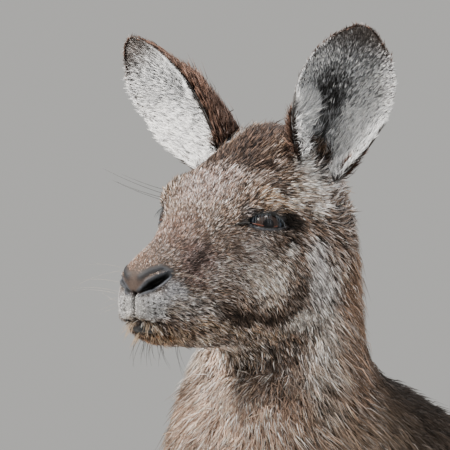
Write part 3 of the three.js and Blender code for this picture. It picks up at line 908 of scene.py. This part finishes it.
tone = markBody(tone, skinCo, normals, owner)
tone = markHead(tone, skinCo)
bareTone = tone * bareShade["body"]
lidCoat = np.zeros(len(skinCo))
for side in leftRight:
    x, z, w, near = inEyeFrame(skinCo, side)
    gap = lidGap(x, z)
    bare = np.where(near, np.maximum(bare, fade(gap, 0.7, 1.6)), bare)
    lidSkin = near * (1 - np.where(z > 0, smoothStep(gap, 1.5, 5.5), smoothStep(gap, 0.8, 3.0)))
    stain(lidSkin, lidColours["upper"], 0.88)
    stain(lidSkin * smoothStep(-x, -4, 6) * (z < 0), lidColours["inner"], 0.6)
    stain(near * fade(gap, 0.2, 1.6) * (z > 0), lidColours["lash"], 1.0)
    stain(near * fade(gap, -0.6, 0.4), lidColours["edge"], 1.0)
    lidCoat = np.maximum(lidCoat, near * fade(gap, 0.8, 4.6))
for cover, colour, strength in stains:
    bareTone = towards(bareTone, strength * cover, colour)
# hair on the lids: shorter, thinner, denser and dark
coat *= 1 - lidCoat[:, None] * (0.5, 0.35, 0, 0.3, 0)
tone = towards(tone, 0.6 * lidCoat, lidColours["coat"])

# ears
# Length and width in mm, lift in degrees, the skin of one tuft in square mm, depth of the coat, mm.
earPlan = {
    "inside": (5.6, 0.4, 24, 0.62, 1),
    "margin": (5.4, 0.42, 20, 0.6, 1),
    "fringe": (14, 0.85, 40, 0.75, 1),        # long white hair low on the inner edge
    "outerLow": (10, 0.65, 26, 0.7, 1),       # the same low on the outer edge
    "back": (6, 0.7, 17, 1.0, 1),
    "root": (12, 0.8, 34, 0.85, 1),           # behind, towards the root
    "mane": (13, 0.7, 40, 0.65, 1),           # behind, along the inner edge
}
# The dark hollow of an ear, painted shade over dark skin: S and U of its middle, and its reach along each.
hollowShadeSpots = {"cup": (-0.2, -0.08, 0.46, 0.5), "top": (-0.1, 0.5, 0.75, 0.4), "slot": (-0.04, -0.55, 0.1, 0.4)}
maneStart = {1: (0.1, 0.6), -1: (-0.45, 0.1)}      # it grows over this part below an ear's middle
# the painted shade in the right ear's hollow is this strong, against the left's
rightHollowShade = 0.5                                   # the right ear's depth is this dark
frostShare = 0.12                                  # share of pale hairs in the depth


def inDepth(key, s, u):
    atS, atU, reachS, reachU = hollowShadeSpots[key]
    return ((s - atS) / reachS) ** 2 + ((u - atU) / reachU) ** 2


def earFields(name, co, normals):
    ear = earFrame(name)
    along, across, onLeft = ear["along"], ear["across"], ear["side"] > 0
    u, s, _ = inEarFrame(co, ear)
    facing = normals @ ear["opening"] - s * (normals @ across)      # the ear is a cup
    inside = smoothStep(facing, -0.1, 0.2)
    margin = smoothStep(np.abs(s) / np.sqrt(np.maximum(1.04 - np.abs(u) ** 2.5, 0.05)), 0.6, 0.98)
    fringe = smoothStep(-s, 0.25, 0.6) * smoothStep(-u, -0.1, 0.35)
    outerLow = smoothStep(s, 0.1, 0.55) * smoothStep(-u, -0.2, 0.45)
    low = smoothStep(-u, -0.35, 0.7)
    mane = (1 - inside) * smoothStep(-s, 0.1, 0.6) * smoothStep(-u, *maneStart[ear["side"]])
    coat = towards(np.tile(earPlan["inside"], (len(co), 1)), margin, earPlan["margin"])
    coat = towards(coat, outerLow, earPlan["outerLow"])
    coat = towards(coat, fringe, earPlan["fringe"])
    behind = np.tile(earPlan["back"], (len(co), 1))
    behind = towards(behind, low * fade(np.abs(s), 0.35, 0.8), earPlan["root"])
    coat = towards(towards(coat, 1 - inside, behind), mane, earPlan["mane"])
    coat[:, 0] *= 1 - 0.5 * smoothStep(u, 0.5, 0.95)
    heading = along * 0.8 + (s * 0.9)[:, None] * across
    heading = towards(heading, fringe, across * 0.55 + along * 0.35)
    heading = towards(heading, 1 - inside, along)
    heading = towards(heading, mane, along * 0.8 - across * 0.5)
    # painted shade in the hollow of the ear, over dark skin between the hairs; stronger in the left ear
    deep = np.exp(-inDepth("cup", s, u) ** 2) * (1 if onLeft else rightHollowShade)
    deep = np.maximum(deep, 0.3 * np.exp(-inDepth("top", s, u) ** 2))
    deep = np.maximum(deep, np.exp(-inDepth("slot", s, u)))
    pale = smoothStep(-s, 0.28, 0.58) * smoothStep(-u, -0.08, 0.22)
    rim = np.maximum(smoothStep(u, 0.45, 0.7), smoothStep(u, 0.1, 0.35) * (s < 0))
    rim = smoothStep(margin, 0.9, 1) * rim
    lowEdge = np.maximum(smoothStep(s, 0.0, 0.3), smoothStep(-s, 0.5, 0.7) * onLeft)
    lowEdge = low * smoothStep(margin, 0.8, 1) * lowEdge
    tone = np.tile(linear(earMarkings["inside"]), (len(co), 1))
    layers = ((0.97 * deep, "deep"),
              (0.85 * smoothStep(u, 0.38, 0.88), "tip"),
              (np.maximum(pale, outerLow) * 0.95, "white"),
              (0.7 * smoothStep(s, 0.3, 0.8) * smoothStep(-u, -0.6, -0.3), "white"),
              (rim, "back"),
              ((1 - inside) * (1 - 0.9 * lowEdge), "back"),
              ((1 - inside) * 0.9 * lowEdge, "white"))
    for cover, key in layers:
        tone = towards(tone, cover, earMarkings[key])
    return unit(heading), coat, tone, frostShare * deep * inside


# the skull that shows in the bottom of each ear: painted shade down its middle, white and pale beside it,
# like the ear
for name in ("ear_left", "ear_right"):
    ear = earFrame(name)
    u, s, ahead = inEarFrame(skinCo, ear)
    cup = smoothStep(ahead, -4, 2) * fade(ahead, 14, 26) * smoothStep(u, -1.12, -0.9)
    cup = cup * fade(np.abs(s) * ear["half"] / mm, 20, 26) * (u < 0)
    tone = towards(tone, 0.9 * cup * swell(s + 0.06, 0.12), earMarkings["deep"])
    tone = towards(tone, 0.9 * cup * smoothStep(s, 0.1, 0.3), earMarkings["white"])
    tone = towards(tone, 0.8 * cup * smoothStep(-s, 0.15, 0.35), earMarkings["cup"])

# everything the coat needs to know at each point of the skin
fields = {"co": skinCo, "normal": normals, "way": heading, "coat": coat, "tone": tone,
          "frost": np.zeros(len(skinCo)), "bareTone": bareTone, "bare": bare, "owner": owner}
for name in ("ear_left", "ear_right"):
    net = earNet(name)
    earTris = trisOf(net)
    earCo = coordsOf(net)
    net.free()
    earNormals = vertexNormals(earCo, earTris)
    earWays, earCoat, earTone, earFrost = earFields(name, earCo, earNormals)
    print(name, len(earTris), "triangles")
    skinTris = np.concatenate([skinTris, earTris + len(fields["co"])])
    more = {"co": earCo, "normal": earNormals, "way": earWays, "coat": earCoat, "tone": earTone,
            "frost": earFrost, "bareTone": earTone * bareShade["ear"], "bare": np.zeros(len(earCo)),
            "owner": np.full(len(earCo), name)}
    fields = {key: np.concatenate([fields[key], more[key]]) for key in fields}

skin = meshOf("skin", fields["co"], skinTris, bareSkin)
paint(skin.data, fields["bareTone"])
finishPiece(skin, "skin", *fleshNodes)
print("skin", len(skinTris), "triangles")

# coat
coatPlan = {
    "most": 32000,        # tufts in one piece
    "bury": 0.35 * mm,    # roots go this far under the skin
    "bow": 0.05,          # rise of a tuft's middle, of its length
    "middle": 0.42,       # where along a tuft its middle is
    "thick": 0.6,         # thickness of a tuft, of its width
    "bend": 5.2 * mm,     # shorter tufts are straight
    "stray": 0.18,        # how far single tufts turn from the lie
    "wave": 0.18,         # the same, for whole patches
    "vary": (0.25, 0.22, 0.2),    # spread of lift, length and width
    "dark": 0.3,          # share of dark hairs, and of pale ones
    "pale": 0.3,
    "spread": 0.43,       # how far brightness differs from tuft to tuft, and from lock to lock
    "lock": 0.4,
    "lockOf": 7,          # tufts in a lock
    "apart": 6 * mm,      # keeps the locks of a thin ear on their own side
    "pore": 0.6 * mm,     # hair this near a whisker root is dark
    "poreTone": "#1b1715",
    "frost": "#c9ccd1",   # single pale hairs in the depth of the ears
    "silver": (0.97, 0.98, 1.0),
}
# A tuft: its faces, then how light each corner is, then its patch of the colour map, thousandths.
# the dark roots are partly painted shade deep in the coat, and the light tips partly a painted highlight
# where they catch the light, over hair that is darker at the base
tuftPlan = {
    "straight": ([(0, 2, 1), (3, 0, 1), (3, 1, 2), (3, 2, 0)], [0.42, 0.34, 0.34, 1.4],
                 [(0, -1.5), (1.2, -0.8), (-1.2, -0.8), (0, 1.5)]),
    "curved": ([(0, 2, 1), (0, 3, 2), (0, 1, 3), (4, 1, 2), (4, 2, 3), (4, 3, 1)],
               [0.12, 0.85, 0.72, 0.72, 1.35], [(0, -1.5), (0, 0), (1.2, 0), (-1.2, 0), (0, 1.5)]),
}
# Kinds of solid, slot, and how much its tufts differ.
regions = {
    "head": (("head", "lower_jaw"), "grey_fur", 1.0),
    "ears": (("ear",), "ear_fur", 0.85),
    "neck": (("neck",), "grey_fur", 0.75),
    "trunk": (("chest", "belly", "rump"), "grey_fur", 0.55),
    "tail": (("tail_1", "tail_2", "tail_3", "tail_4"), "dark_fur", 0.5),
    "legs": (("thigh", "shank", "foot"), "grey_fur", 0.5),
    "arms": (("upper_arm", "forearm", "hand"), "pale_fur", 0.5),
}


def unwrap(tris):
    # flat layout of a piece of skin, for the places of its tufts in the colour map
    points, local = np.unique(tris, return_inverse=True)
    patch = meshOf("patch", fields["co"][points], local.reshape(-1, 3), bareSkin)
    patch.data.uv_layers.new(name="flat")
    bpy.context.view_layer.objects.active = patch
    for other in bpy.context.selected_objects:
        other.select_set(False)
    patch.select_set(True)
    bpy.ops.object.mode_set(mode="EDIT")
    bpy.ops.mesh.select_all(action="SELECT")
    bpy.ops.uv.smart_project(angle_limit=math.radians(66), island_margin=0.004)
    bpy.ops.object.mode_set(mode="OBJECT")
    uv = np.zeros(len(patch.data.loops) * 2, np.float32)
    patch.data.uv_layers["flat"].data.foreach_get("uv", uv)
    bpy.data.objects.remove(patch)
    return uv.reshape(-1, 3, 2)


def halves(triIndex):
    # cuts a part of the skin in two until no piece has too many tufts
    if expected[triIndex].sum() < coatPlan["most"]:
        return [triIndex]
    axis = int(np.argmax(np.ptp(centres[triIndex], axis=0)))
    order = triIndex[np.argsort(centres[triIndex, axis])]
    cut = np.searchsorted(np.cumsum(expected[order]), expected[order].sum() / 2)
    return halves(order[:cut]) + halves(order[cut:])


def column(values):
    return values[:, None]


def tuftColours(rolls, colour, length, lock, leaders, contrast):
    # tufts of a lock are alike; some tufts are dark and some pale, less so in short or white coat
    calm = contrast * (0.35 + 0.65 * smoothStep(length, 1.0 * mm, 2.4 * mm))
    colour = towards(colour, np.full(len(colour), 0.7), colour[leaders][lock])
    light = colour.mean(1)
    white = smoothStep(light, 0.3, 0.65)
    shade = np.exp(rolls.normal(0, coatPlan["lock"], len(leaders)))[lock] ** calm
    shade *= np.exp(rolls.normal(0, coatPlan["spread"], len(colour)) * calm * (1 - 0.4 * white))
    kind = rolls.random(len(colour))
    drop = contrast * (0.83 - 0.5 * smoothStep(light, 0.25, 0.6))
    shade = np.where(kind < coatPlan["dark"] * calm * (1 - 0.95 * white), shade * (1 - drop), shade)
    pale = kind > 1 - coatPlan["pale"] * calm
    colour = colour * column(shade)
    silver = np.array(coatPlan["silver"]) * colour.mean(1, keepdims=True)
    silvered = towards(colour, 0.2 + 0.4 * smoothStep(light, 0.02, 0.12), silver)
    return np.where(column(pale), (1 + 1.2 * contrast) * silvered, colour)


def growCoat(name, triIndex, slotName, contrast):
    # too many tufts for an operator each, so all of a piece are laid out together
    rolls = np.random.default_rng(len(triIndex))
    tris = skinTris[triIndex]
    weight = expected[triIndex]
    count = int(weight.sum())
    steps = (np.arange(count) + rolls.random(count)) / count
    pick = np.minimum(np.searchsorted(np.cumsum(weight) / weight.sum(), steps), len(tris) - 1)
    a, b = np.sqrt(rolls.random(count)), rolls.random(count)
    share = np.stack([1 - a, a * (1 - b), a * b], 1)[:, :, None]

    def at(field):
        return (field[tris[pick]] * share).sum(1)
    root = at(fields["co"])
    normal = unit(at(fields["normal"]))
    ways = at(fields["way"])
    length, width, lift = at(fields["coat"][:, :3]).T
    colour = at(fields["tone"])
    colour[rolls.random(count) < at(column(fields["frost"]))[:, 0]] = linear(coatPlan["frost"])
    long = smoothStep(length, 4, 14)
    ways = ways + coatPlan["wave"] * ripples(root, 0.022 + 0.03 * long.mean(), 5)
    ways = ways + coatPlan["stray"] * rolls.normal(size=(count, 3))
    flat = unit(ways - (ways * normal).sum(1, keepdims=True) * normal)
    varyLift, varyLength, varyWidth = coatPlan["vary"]
    lift = np.radians(lift * np.exp(rolls.normal(0, varyLift, count)))
    length = length * mm * np.exp(rolls.normal(0, varyLength, count))
    width = width * mm * np.exp(rolls.normal(0, varyWidth, count))
    along = flat * column(np.cos(lift)) + normal * column(np.sin(lift))
    droop = unit(flat + normal * column(np.sin(lift) * 0.55))
    halfWay = root + along * column(length * coatPlan["middle"])
    bent = halfWay + normal * column(length * coatPlan["bow"])
    tip = halfWay + droop * column(length * (1 - coatPlan["middle"]))

    # locks: tips lean to those of a few leaders
    leaders = rolls.choice(count, max(count // coatPlan["lockOf"], 1), replace=False)
    tree = KDTree(len(leaders))
    lifted = root + normal * coatPlan["apart"]
    for k, p in enumerate(lifted[leaders]):
        tree.insert(p, k)
    tree.balance()
    lock = np.array([tree.find(p)[1] for p in lifted])
    pull = column((0.3 + 0.3 * long) * rolls.uniform(0.5, 1.2, count))
    goal = tip[leaders][lock]
    near = column(np.linalg.norm(goal - tip, axis=1) < 1.1 * length)
    tip = tip + pull * near * (goal - tip)
    bent = bent + 0.35 * pull * near * (goal - tip)

    colour = tuftColours(rolls, colour, length, lock, leaders, contrast)
    colour[poreGap(root) < coatPlan["pore"]] = linear(coatPlan["poreTone"])

    side = unit(np.cross(along, normal))
    half = side * column(width * 0.5)
    thick = np.cross(side, along) * column(width * coatPlan["thick"] / 2)
    leftEdge, rightEdge = half - thick * 0.5, -half - thick * 0.5
    base = root - normal * coatPlan["bury"]
    place = (unwrap(tris)[pick] * share).sum(1)
    curls = length > coatPlan["bend"]
    shapes = {"straight": (~curls, (base + thick, base + leftEdge, base + rightEdge, tip)),
              "curved": (curls, (base, bent + thick, bent + leftEdge, bent + rightEdge, tip))}
    points, faces, tints, uvs, start = [], [], [], [], 0
    for key, (mine, corners) in shapes.items():
        fan, steps, patch = (np.array(part) for part in tuftPlan[key])
        n, k = int(mine.sum()), len(corners)
        points.append(np.stack(corners, 1)[mine].reshape(-1, 3))
        faces.append((start + fan[None] + k * np.arange(n)[:, None, None]).reshape(-1, 3))
        # each corner's lightness: painted shade at the root, painted highlight at the tip
        tints.append((colour[mine][:, None] * steps[None, :, None]).reshape(-1, 3))
        uvs.append((place[mine][:, None] + patch[None] * 1e-3).reshape(-1, 2))
        start += n * k
    points, faces, tints, uvs = (np.concatenate(rows) for rows in (points, faces, tints, uvs))
    points[:, 2] = np.maximum(points[:, 2], floorGap)
    piece = meshOf(name, points, faces, hair)
    paint(piece.data, np.clip(tints, 0, 1))
    layer = piece.data.uv_layers.new(name="OFBake")
    layer.data.foreach_set("uv", uvs[faces.ravel()].astype(np.float32).ravel())
    finishPiece(piece, slotName)
    return count, len(faces)


corner = fields["co"][skinTris]
areas = 0.5 * np.linalg.norm(np.cross(corner[:, 1] - corner[:, 0], corner[:, 2] - corner[:, 0]), axis=1)
room = fields["coat"][skinTris].mean(1)[:, 3] * mm * mm
expected = areas / room * (1 - fields["bare"][skinTris].mean(1))      # tufts on each face of the skin
centres = corner.mean(1)
triOwner = fields["owner"][skinTris[:, 0]]
total = 0
for region, (kinds, slotName, contrast) in regions.items():
    parts = halves(np.flatnonzero(ofKinds(triOwner, kinds)))
    grown = [growCoat(f"coat_{region}_{k + 1}", part, slotName, contrast) for k, part in enumerate(parts)]
    total += sum(n for _, n in grown)
    print("coat", region, "tufts and triangles", grown)
print("coat", total, "triangles")


# eyes
# Angles are degrees from the front of the eye.
eyePlan = {
    "segments": (64, 48),
    "cornea": (0.9 * mm, 38),          # its rise, and where it ends
    "pupil": (18, "#08080a"),
    "iris": "#2b221f",
    "irisEdge": (33, 40, "#0e1116"),
    # white: the outer ball painted slate blue, a painted reflection of the sky
    "white": (42, 52, "#333b47"),
    "uneven": (0.75, 1.25),
}


def makeEye(side, name):
    net = bmesh.new()
    around, rings = eyePlan["segments"]
    bmesh.ops.create_uvsphere(net, u_segments=around, v_segments=rings, radius=eyeRadius)
    across, up, out = (Vector(v) for v in eyeFrame(side))
    rise, edge = eyePlan["cornea"]
    angles = []
    for v in net.verts:
        outward = v.co.normalized()
        angle = math.degrees(math.acos(max(-1, min(1, outward.z))))
        angles.append(angle)
        v.co += outward * (rise * max(0, 1 - (angle / edge) ** 2))
        v.co = Vector(eyeCentre[side]) + across * v.co.x + up * v.co.y * side + out * v.co.z
    bmesh.ops.recalc_face_normals(net, faces=net.faces)
    mesh = toMesh(net, name)
    mesh.materials.append(eyeGloss)
    mesh.shade_smooth()
    angles = column(np.array(angles))
    limit, pupil = eyePlan["pupil"]
    colour = np.where(angles < limit, linear(pupil), linear(eyePlan["iris"]))
    # dark rim of the iris, then the outer ball painted slate blue as a reflection of the sky
    for start, end, goal in (eyePlan["irisEdge"], eyePlan["white"]):
        colour = towards(colour, smoothStep(angles, start, end), goal)
    rolls = np.random.default_rng(3)
    paint(mesh, colour * rolls.uniform(*eyePlan["uneven"], (len(angles), 1)))
    finishPiece(addObject(name + "_ball", mesh), "eye", name)


makeEye(1, "eye_left")
makeEye(-1, "eye_right")
print("eyes made")


# lid edges, lashes and whiskers
def tubes(name, lines, material, slotName, roundness=1):
    # tapering hairs or edges: each line is its points and their radii
    curve = bpy.data.curves.new(name, "CURVE")
    curve.dimensions = "3D"
    curve.bevel_depth = 1.0
    curve.bevel_resolution = roundness
    curve.use_fill_caps = True
    for points, radii in lines:
        spline = curve.splines.new("POLY")
        spline.points.add(len(points) - 1)
        for point, place, radius in zip(spline.points, points, radii):
            point.co = (*place, 1)
            point.radius = radius
    rough = addObject(name, curve)
    mesh = bpy.data.meshes.new_from_object(evaluated(rough))
    bpy.data.objects.remove(rough)
    mesh.materials.clear()
    mesh.materials.append(material)
    finishPiece(addObject(name, mesh), slotName)


def lidLine(side, upper, rise, out, first=-1.0, last=1.0, count=25):
    x = np.linspace(first, last, count) * lidPlan["halfWidth"]
    z = lidEdges(x)[0 if upper else 1] + rise
    return fromEyeFrame(x, z, ballHeight(x, z, eyeRadius / mm + out), side)


# Piece: its finish with colour and roughness, its slot, and how round its tubes are.
fineParts = {
    "lidEdges": ("lidEdge", "#0c0a09", 0.8, "skin", 3),
    "haws": ("haw", "#54240f", 0.35, "skin", 3),
    "lashes": ("lash", "#2b323a", 0.5, "dark_fur", 1),
    "darkWhiskers": ("darkWhisker", "#1c1512", 0.45, "dark_fur", 1),
    "paleWhiskers": ("paleWhisker", "#8f867c", 0.45, "pale_fur", 1),
    "bristles": ("bristle", "#a8927a", 0.5, "pale_fur", 1),
    "cheekHairs": ("whiteBristle", "#e9e5df", 0.5, "pale_fur", 1),
}
# Whiskers: way, how far it varies, bend, length and radius in mm. The left side.
whiskerPlan = {
    "brow": ((0.75, -0.62, 0.28), 0.08, (0, 0, 0.1), (34, 52), 0.17),
    "chin": ((0.25, -0.25, -1), 0.2, (0, 0.3, 0.1), (12, 30), 0.15),
    "muzzle": ((1.0, -0.3, (-0.1, 0.45)), 0.08, (0, 0.2, -0.25), (34, 56), 0.085),
}
browRoots = [(44, -14, 17), (44, -10, 20), (44, -6, 22), (44, -12, 13)]
muzzleRoots = [(24, -82, -28), (24, -78, -38), (24, -70, -30), (24, -74, -46), (24, -84, -46)]
cheekWhiskers = (((54, 12, -30), 30), ((54, 18, -34), 24))
tearLine = [(38.6, -15.4, 3.4), (36.8, -18.2, 2.6), (34.8, -22.6, 1.4), (33.2, -26.4, 0.6)]
tearRadii = (1.1, 0.95, 0.7, 0.3)
lashRows = ((-0.75, 0.05, 14), (0.35, 0.95, 12))      # from, to and number, along the upper lid
lines = {name: [] for name in fineParts}
rolls = np.random.default_rng(21)
skinTree = BVHTree.FromPolygons(fields["co"].tolist(), skinTris.tolist())


def rootAt(place, side):
    return settled([place], skinTree, side)[0]


def addHair(name, root, way, bend, length, radius, count=7):
    t = np.linspace(0, 1, count)[:, None]
    points = root + (unit(way) * t + np.array(bend) * t ** 2) * length * mm
    lines[name].append((points, radius * mm * (1 - 0.8 * t[:, 0] ** 1.5)))


def growWhiskers(name, key, roots, side):
    (wayX, wayY, wayZ), stray, bend, lengths, radius = whiskerPlan[key]
    for place in roots:
        root = rootAt(place, side)
        rise = rolls.uniform(*wayZ) if isinstance(wayZ, tuple) else wayZ
        way = np.array([side * wayX, wayY, rise]) + rolls.normal(0, stray, 3)
        addHair(name, root, way, bend, rolls.uniform(*lengths), radius)


for side in leftRight:
    across, up, out = eyeFrame(side)
    taper = np.sin(np.linspace(0.25, math.pi - 0.25, 25)) ** 0.5
    lines["lidEdges"] += [(settled(tearLine, skinTree, side) + 0.6 * mm * out, np.array(tearRadii) * mm),
                          (lidLine(side, True, 0.3, 0.9), 1.3 * mm * taper),
                          (lidLine(side, False, -0.3, 0.5), 0.6 * mm * taper)]
    lines["haws"].append((lidLine(side, False, 1.4, 0.3, -0.8, 0.5), 0.5 * mm * taper))
    for x in np.concatenate([np.linspace(*row) for row in lashRows]):
        root = lidLine(side, True, 0.3, 1.5, x, x, 1)[0]
        way = out + 0.3 * across * (x + 0.2) - 0.6 * up + rolls.normal(0, 0.1, 3)
        length = rolls.uniform(4.5, 7.5) if x < 0.1 else rolls.uniform(3, 5)
        addHair("lashes", root, way, -0.55 * up, length, 0.15)
    growWhiskers("darkWhiskers", "brow", browRoots, side)
    for place, length in cheekWhiskers:
        way = np.array([side, 0.3, -0.4])
        addHair("darkWhiskers", rootAt(place, side), way, (0, 0.1, -0.3), length, 0.17)
    chinRoots = ((rolls.uniform(3, 17), -86 + 26 * rolls.random(), -80) for _ in range(13))
    growWhiskers("darkWhiskers", "chin", chinRoots, side)
    for k, root in enumerate(np.split(pores, 2)[0 if side == 1 else 1]):
        if k % len(poreColumns) > 2 and rolls.random() < 0.3:
            way = np.array([side, -0.12, rolls.uniform(-0.5, 0.35)]) + rolls.normal(0, 0.1, 3)
            bend = (0, 0.35, rolls.uniform(-0.25, 0.1))
            addHair("paleWhiskers", root, way, bend, rolls.uniform(18, 34), 0.085)
    for k in range(90):
        t = rolls.random()
        onLip = (4 + 19 * t, -90 + 30 * t ** 1.6, -63 - 4 * t)
        onChin = (3 + 17 * t, -86 + 22 * t, -71 - 4 * t)
        x, y, z = onLip if k % 2 else onChin
        root = rootAt((x, y, z + rolls.uniform(-2, 2)), side)
        way = np.array([side * (0.35 + 0.4 * t), -0.75 + 0.9 * t, -0.75]) + rolls.normal(0, 0.16, 3)
        addHair("bristles", root, way, (0, 0.15, -0.1), rolls.uniform(6, 12), 0.12, 5)
    growWhiskers("paleWhiskers", "muzzle", muzzleRoots, side)
for side in leftRight:
    # white tuft on the cheek
    for _ in range(40):
        spread = rolls.normal(0, 1, 2)
        root = rootAt((54, 13.5 + 1.2 * spread[0], -16.8 + 1.7 * spread[1]), side)
        way = np.array([side * 0.75, 0.25 + 0.25 * spread[0], -0.6 + 0.25 * spread[1]])
        addHair("cheekHairs", root, way, (-side * 0.3, 0.1, -0.1), rolls.uniform(4, 7), 0.19, 5)
for name, (finish, colour, roughness, slotName, roundness) in fineParts.items():
    tubes(name, lines[name], unevenMaterial(finish, colour, roughness), slotName, roundness)
    print(name, len(lines[name]))

for name in nodes:
    if name.startswith("claw_"):
        nodes[name].data.materials.clear()
        nodes[name].data.materials.append(clawHorn)

# camera, light and floor
cameraPlan = {
    "azimuth": 38.0,
    "elevation": 4.0,
    "distance": 4.0,
    "frameWidth": 450 / 1.45 * mm,      # what the view spans at the head
    "eyeAside": 38 / 1.45 * mm,         # the left eye is this far right of the view's middle
    "farthest": 60,
}
# Lamps: place from the face, to the right, up and towards the camera; size; watts; colour.
lampPlan = {
    "key": ((-2.1, 1.9, 0.9), 0.45, 235, (1.0, 0.95, 0.88)),
    "top": ((0.5, 2.8, 0.8), 0.7, 120, (1.0, 0.97, 0.93)),
    "fill": ((2.0, 0.8, 2.2), 2.4, 16, (0.9, 0.94, 1.0)),
    "rim": ((1.4, 1.9, -1.4), 1.0, 60, (0.95, 0.97, 1.0)),
}
studioPlan = {"sky": (0.82, 0.81, 0.78, 1), "skyStrength": 0.6, "floor": (0.62, 0.61, 0.58, 1),
              "floorRadius": 5}


def aimed(direction):
    return direction.to_track_quat("Z", "Y").to_euler()


def addCamera():
    a, e = math.radians(cameraPlan["azimuth"]), math.radians(cameraPlan["elevation"])
    back = Vector((math.sin(a) * math.cos(e), -math.cos(a) * math.cos(e), math.sin(e)))
    right = Vector((math.cos(a), math.sin(a), 0))
    camera = addObject("camera", bpy.data.cameras.new("camera"))
    camera.data.lens = camera.data.sensor_width * cameraPlan["distance"] / cameraPlan["frameWidth"]
    camera.data.clip_end = cameraPlan["farthest"]
    camera.location = Vector(eyeCentre[1]) - right * cameraPlan["eyeAside"] + back * cameraPlan["distance"]
    camera.rotation_euler = aimed(back)
    bpy.context.scene.camera = camera
    return right, back


def addLamp(name, place, aim, size, power, colour):
    lamp = addObject(name, bpy.data.lights.new(name, "AREA"))
    lamp.data.size = size
    lamp.data.energy = power
    lamp.data.color = colour
    lamp.location = place
    lamp.rotation_euler = aimed(place - aim)


right, back = addCamera()
face = Vector(headZero)
for name, ((toRight, toTop, toCamera), size, power, colour) in lampPlan.items():
    addLamp(name, face + right * toRight + Vector((0, 0, toTop)) + back * toCamera, face, size, power, colour)
world = bpy.data.worlds.new("studio")
world.use_nodes = True
sky = world.node_tree.nodes["Background"]
sky.inputs["Color"].default_value = studioPlan["sky"]
sky.inputs["Strength"].default_value = studioPlan["skyStrength"]
bpy.context.scene.world = world

disc = bmesh.new()
bmesh.ops.create_circle(disc, cap_ends=True, segments=96, radius=studioPlan["floorRadius"])
floor = addObject("floor", toMesh(disc, "floor"))
floorPaint, _ = newMaterial("paleFloor", Roughness=0.8, Base_Color=studioPlan["floor"])
floor.data.materials.append(floorPaint)
print("camera, lamps and floor placed")
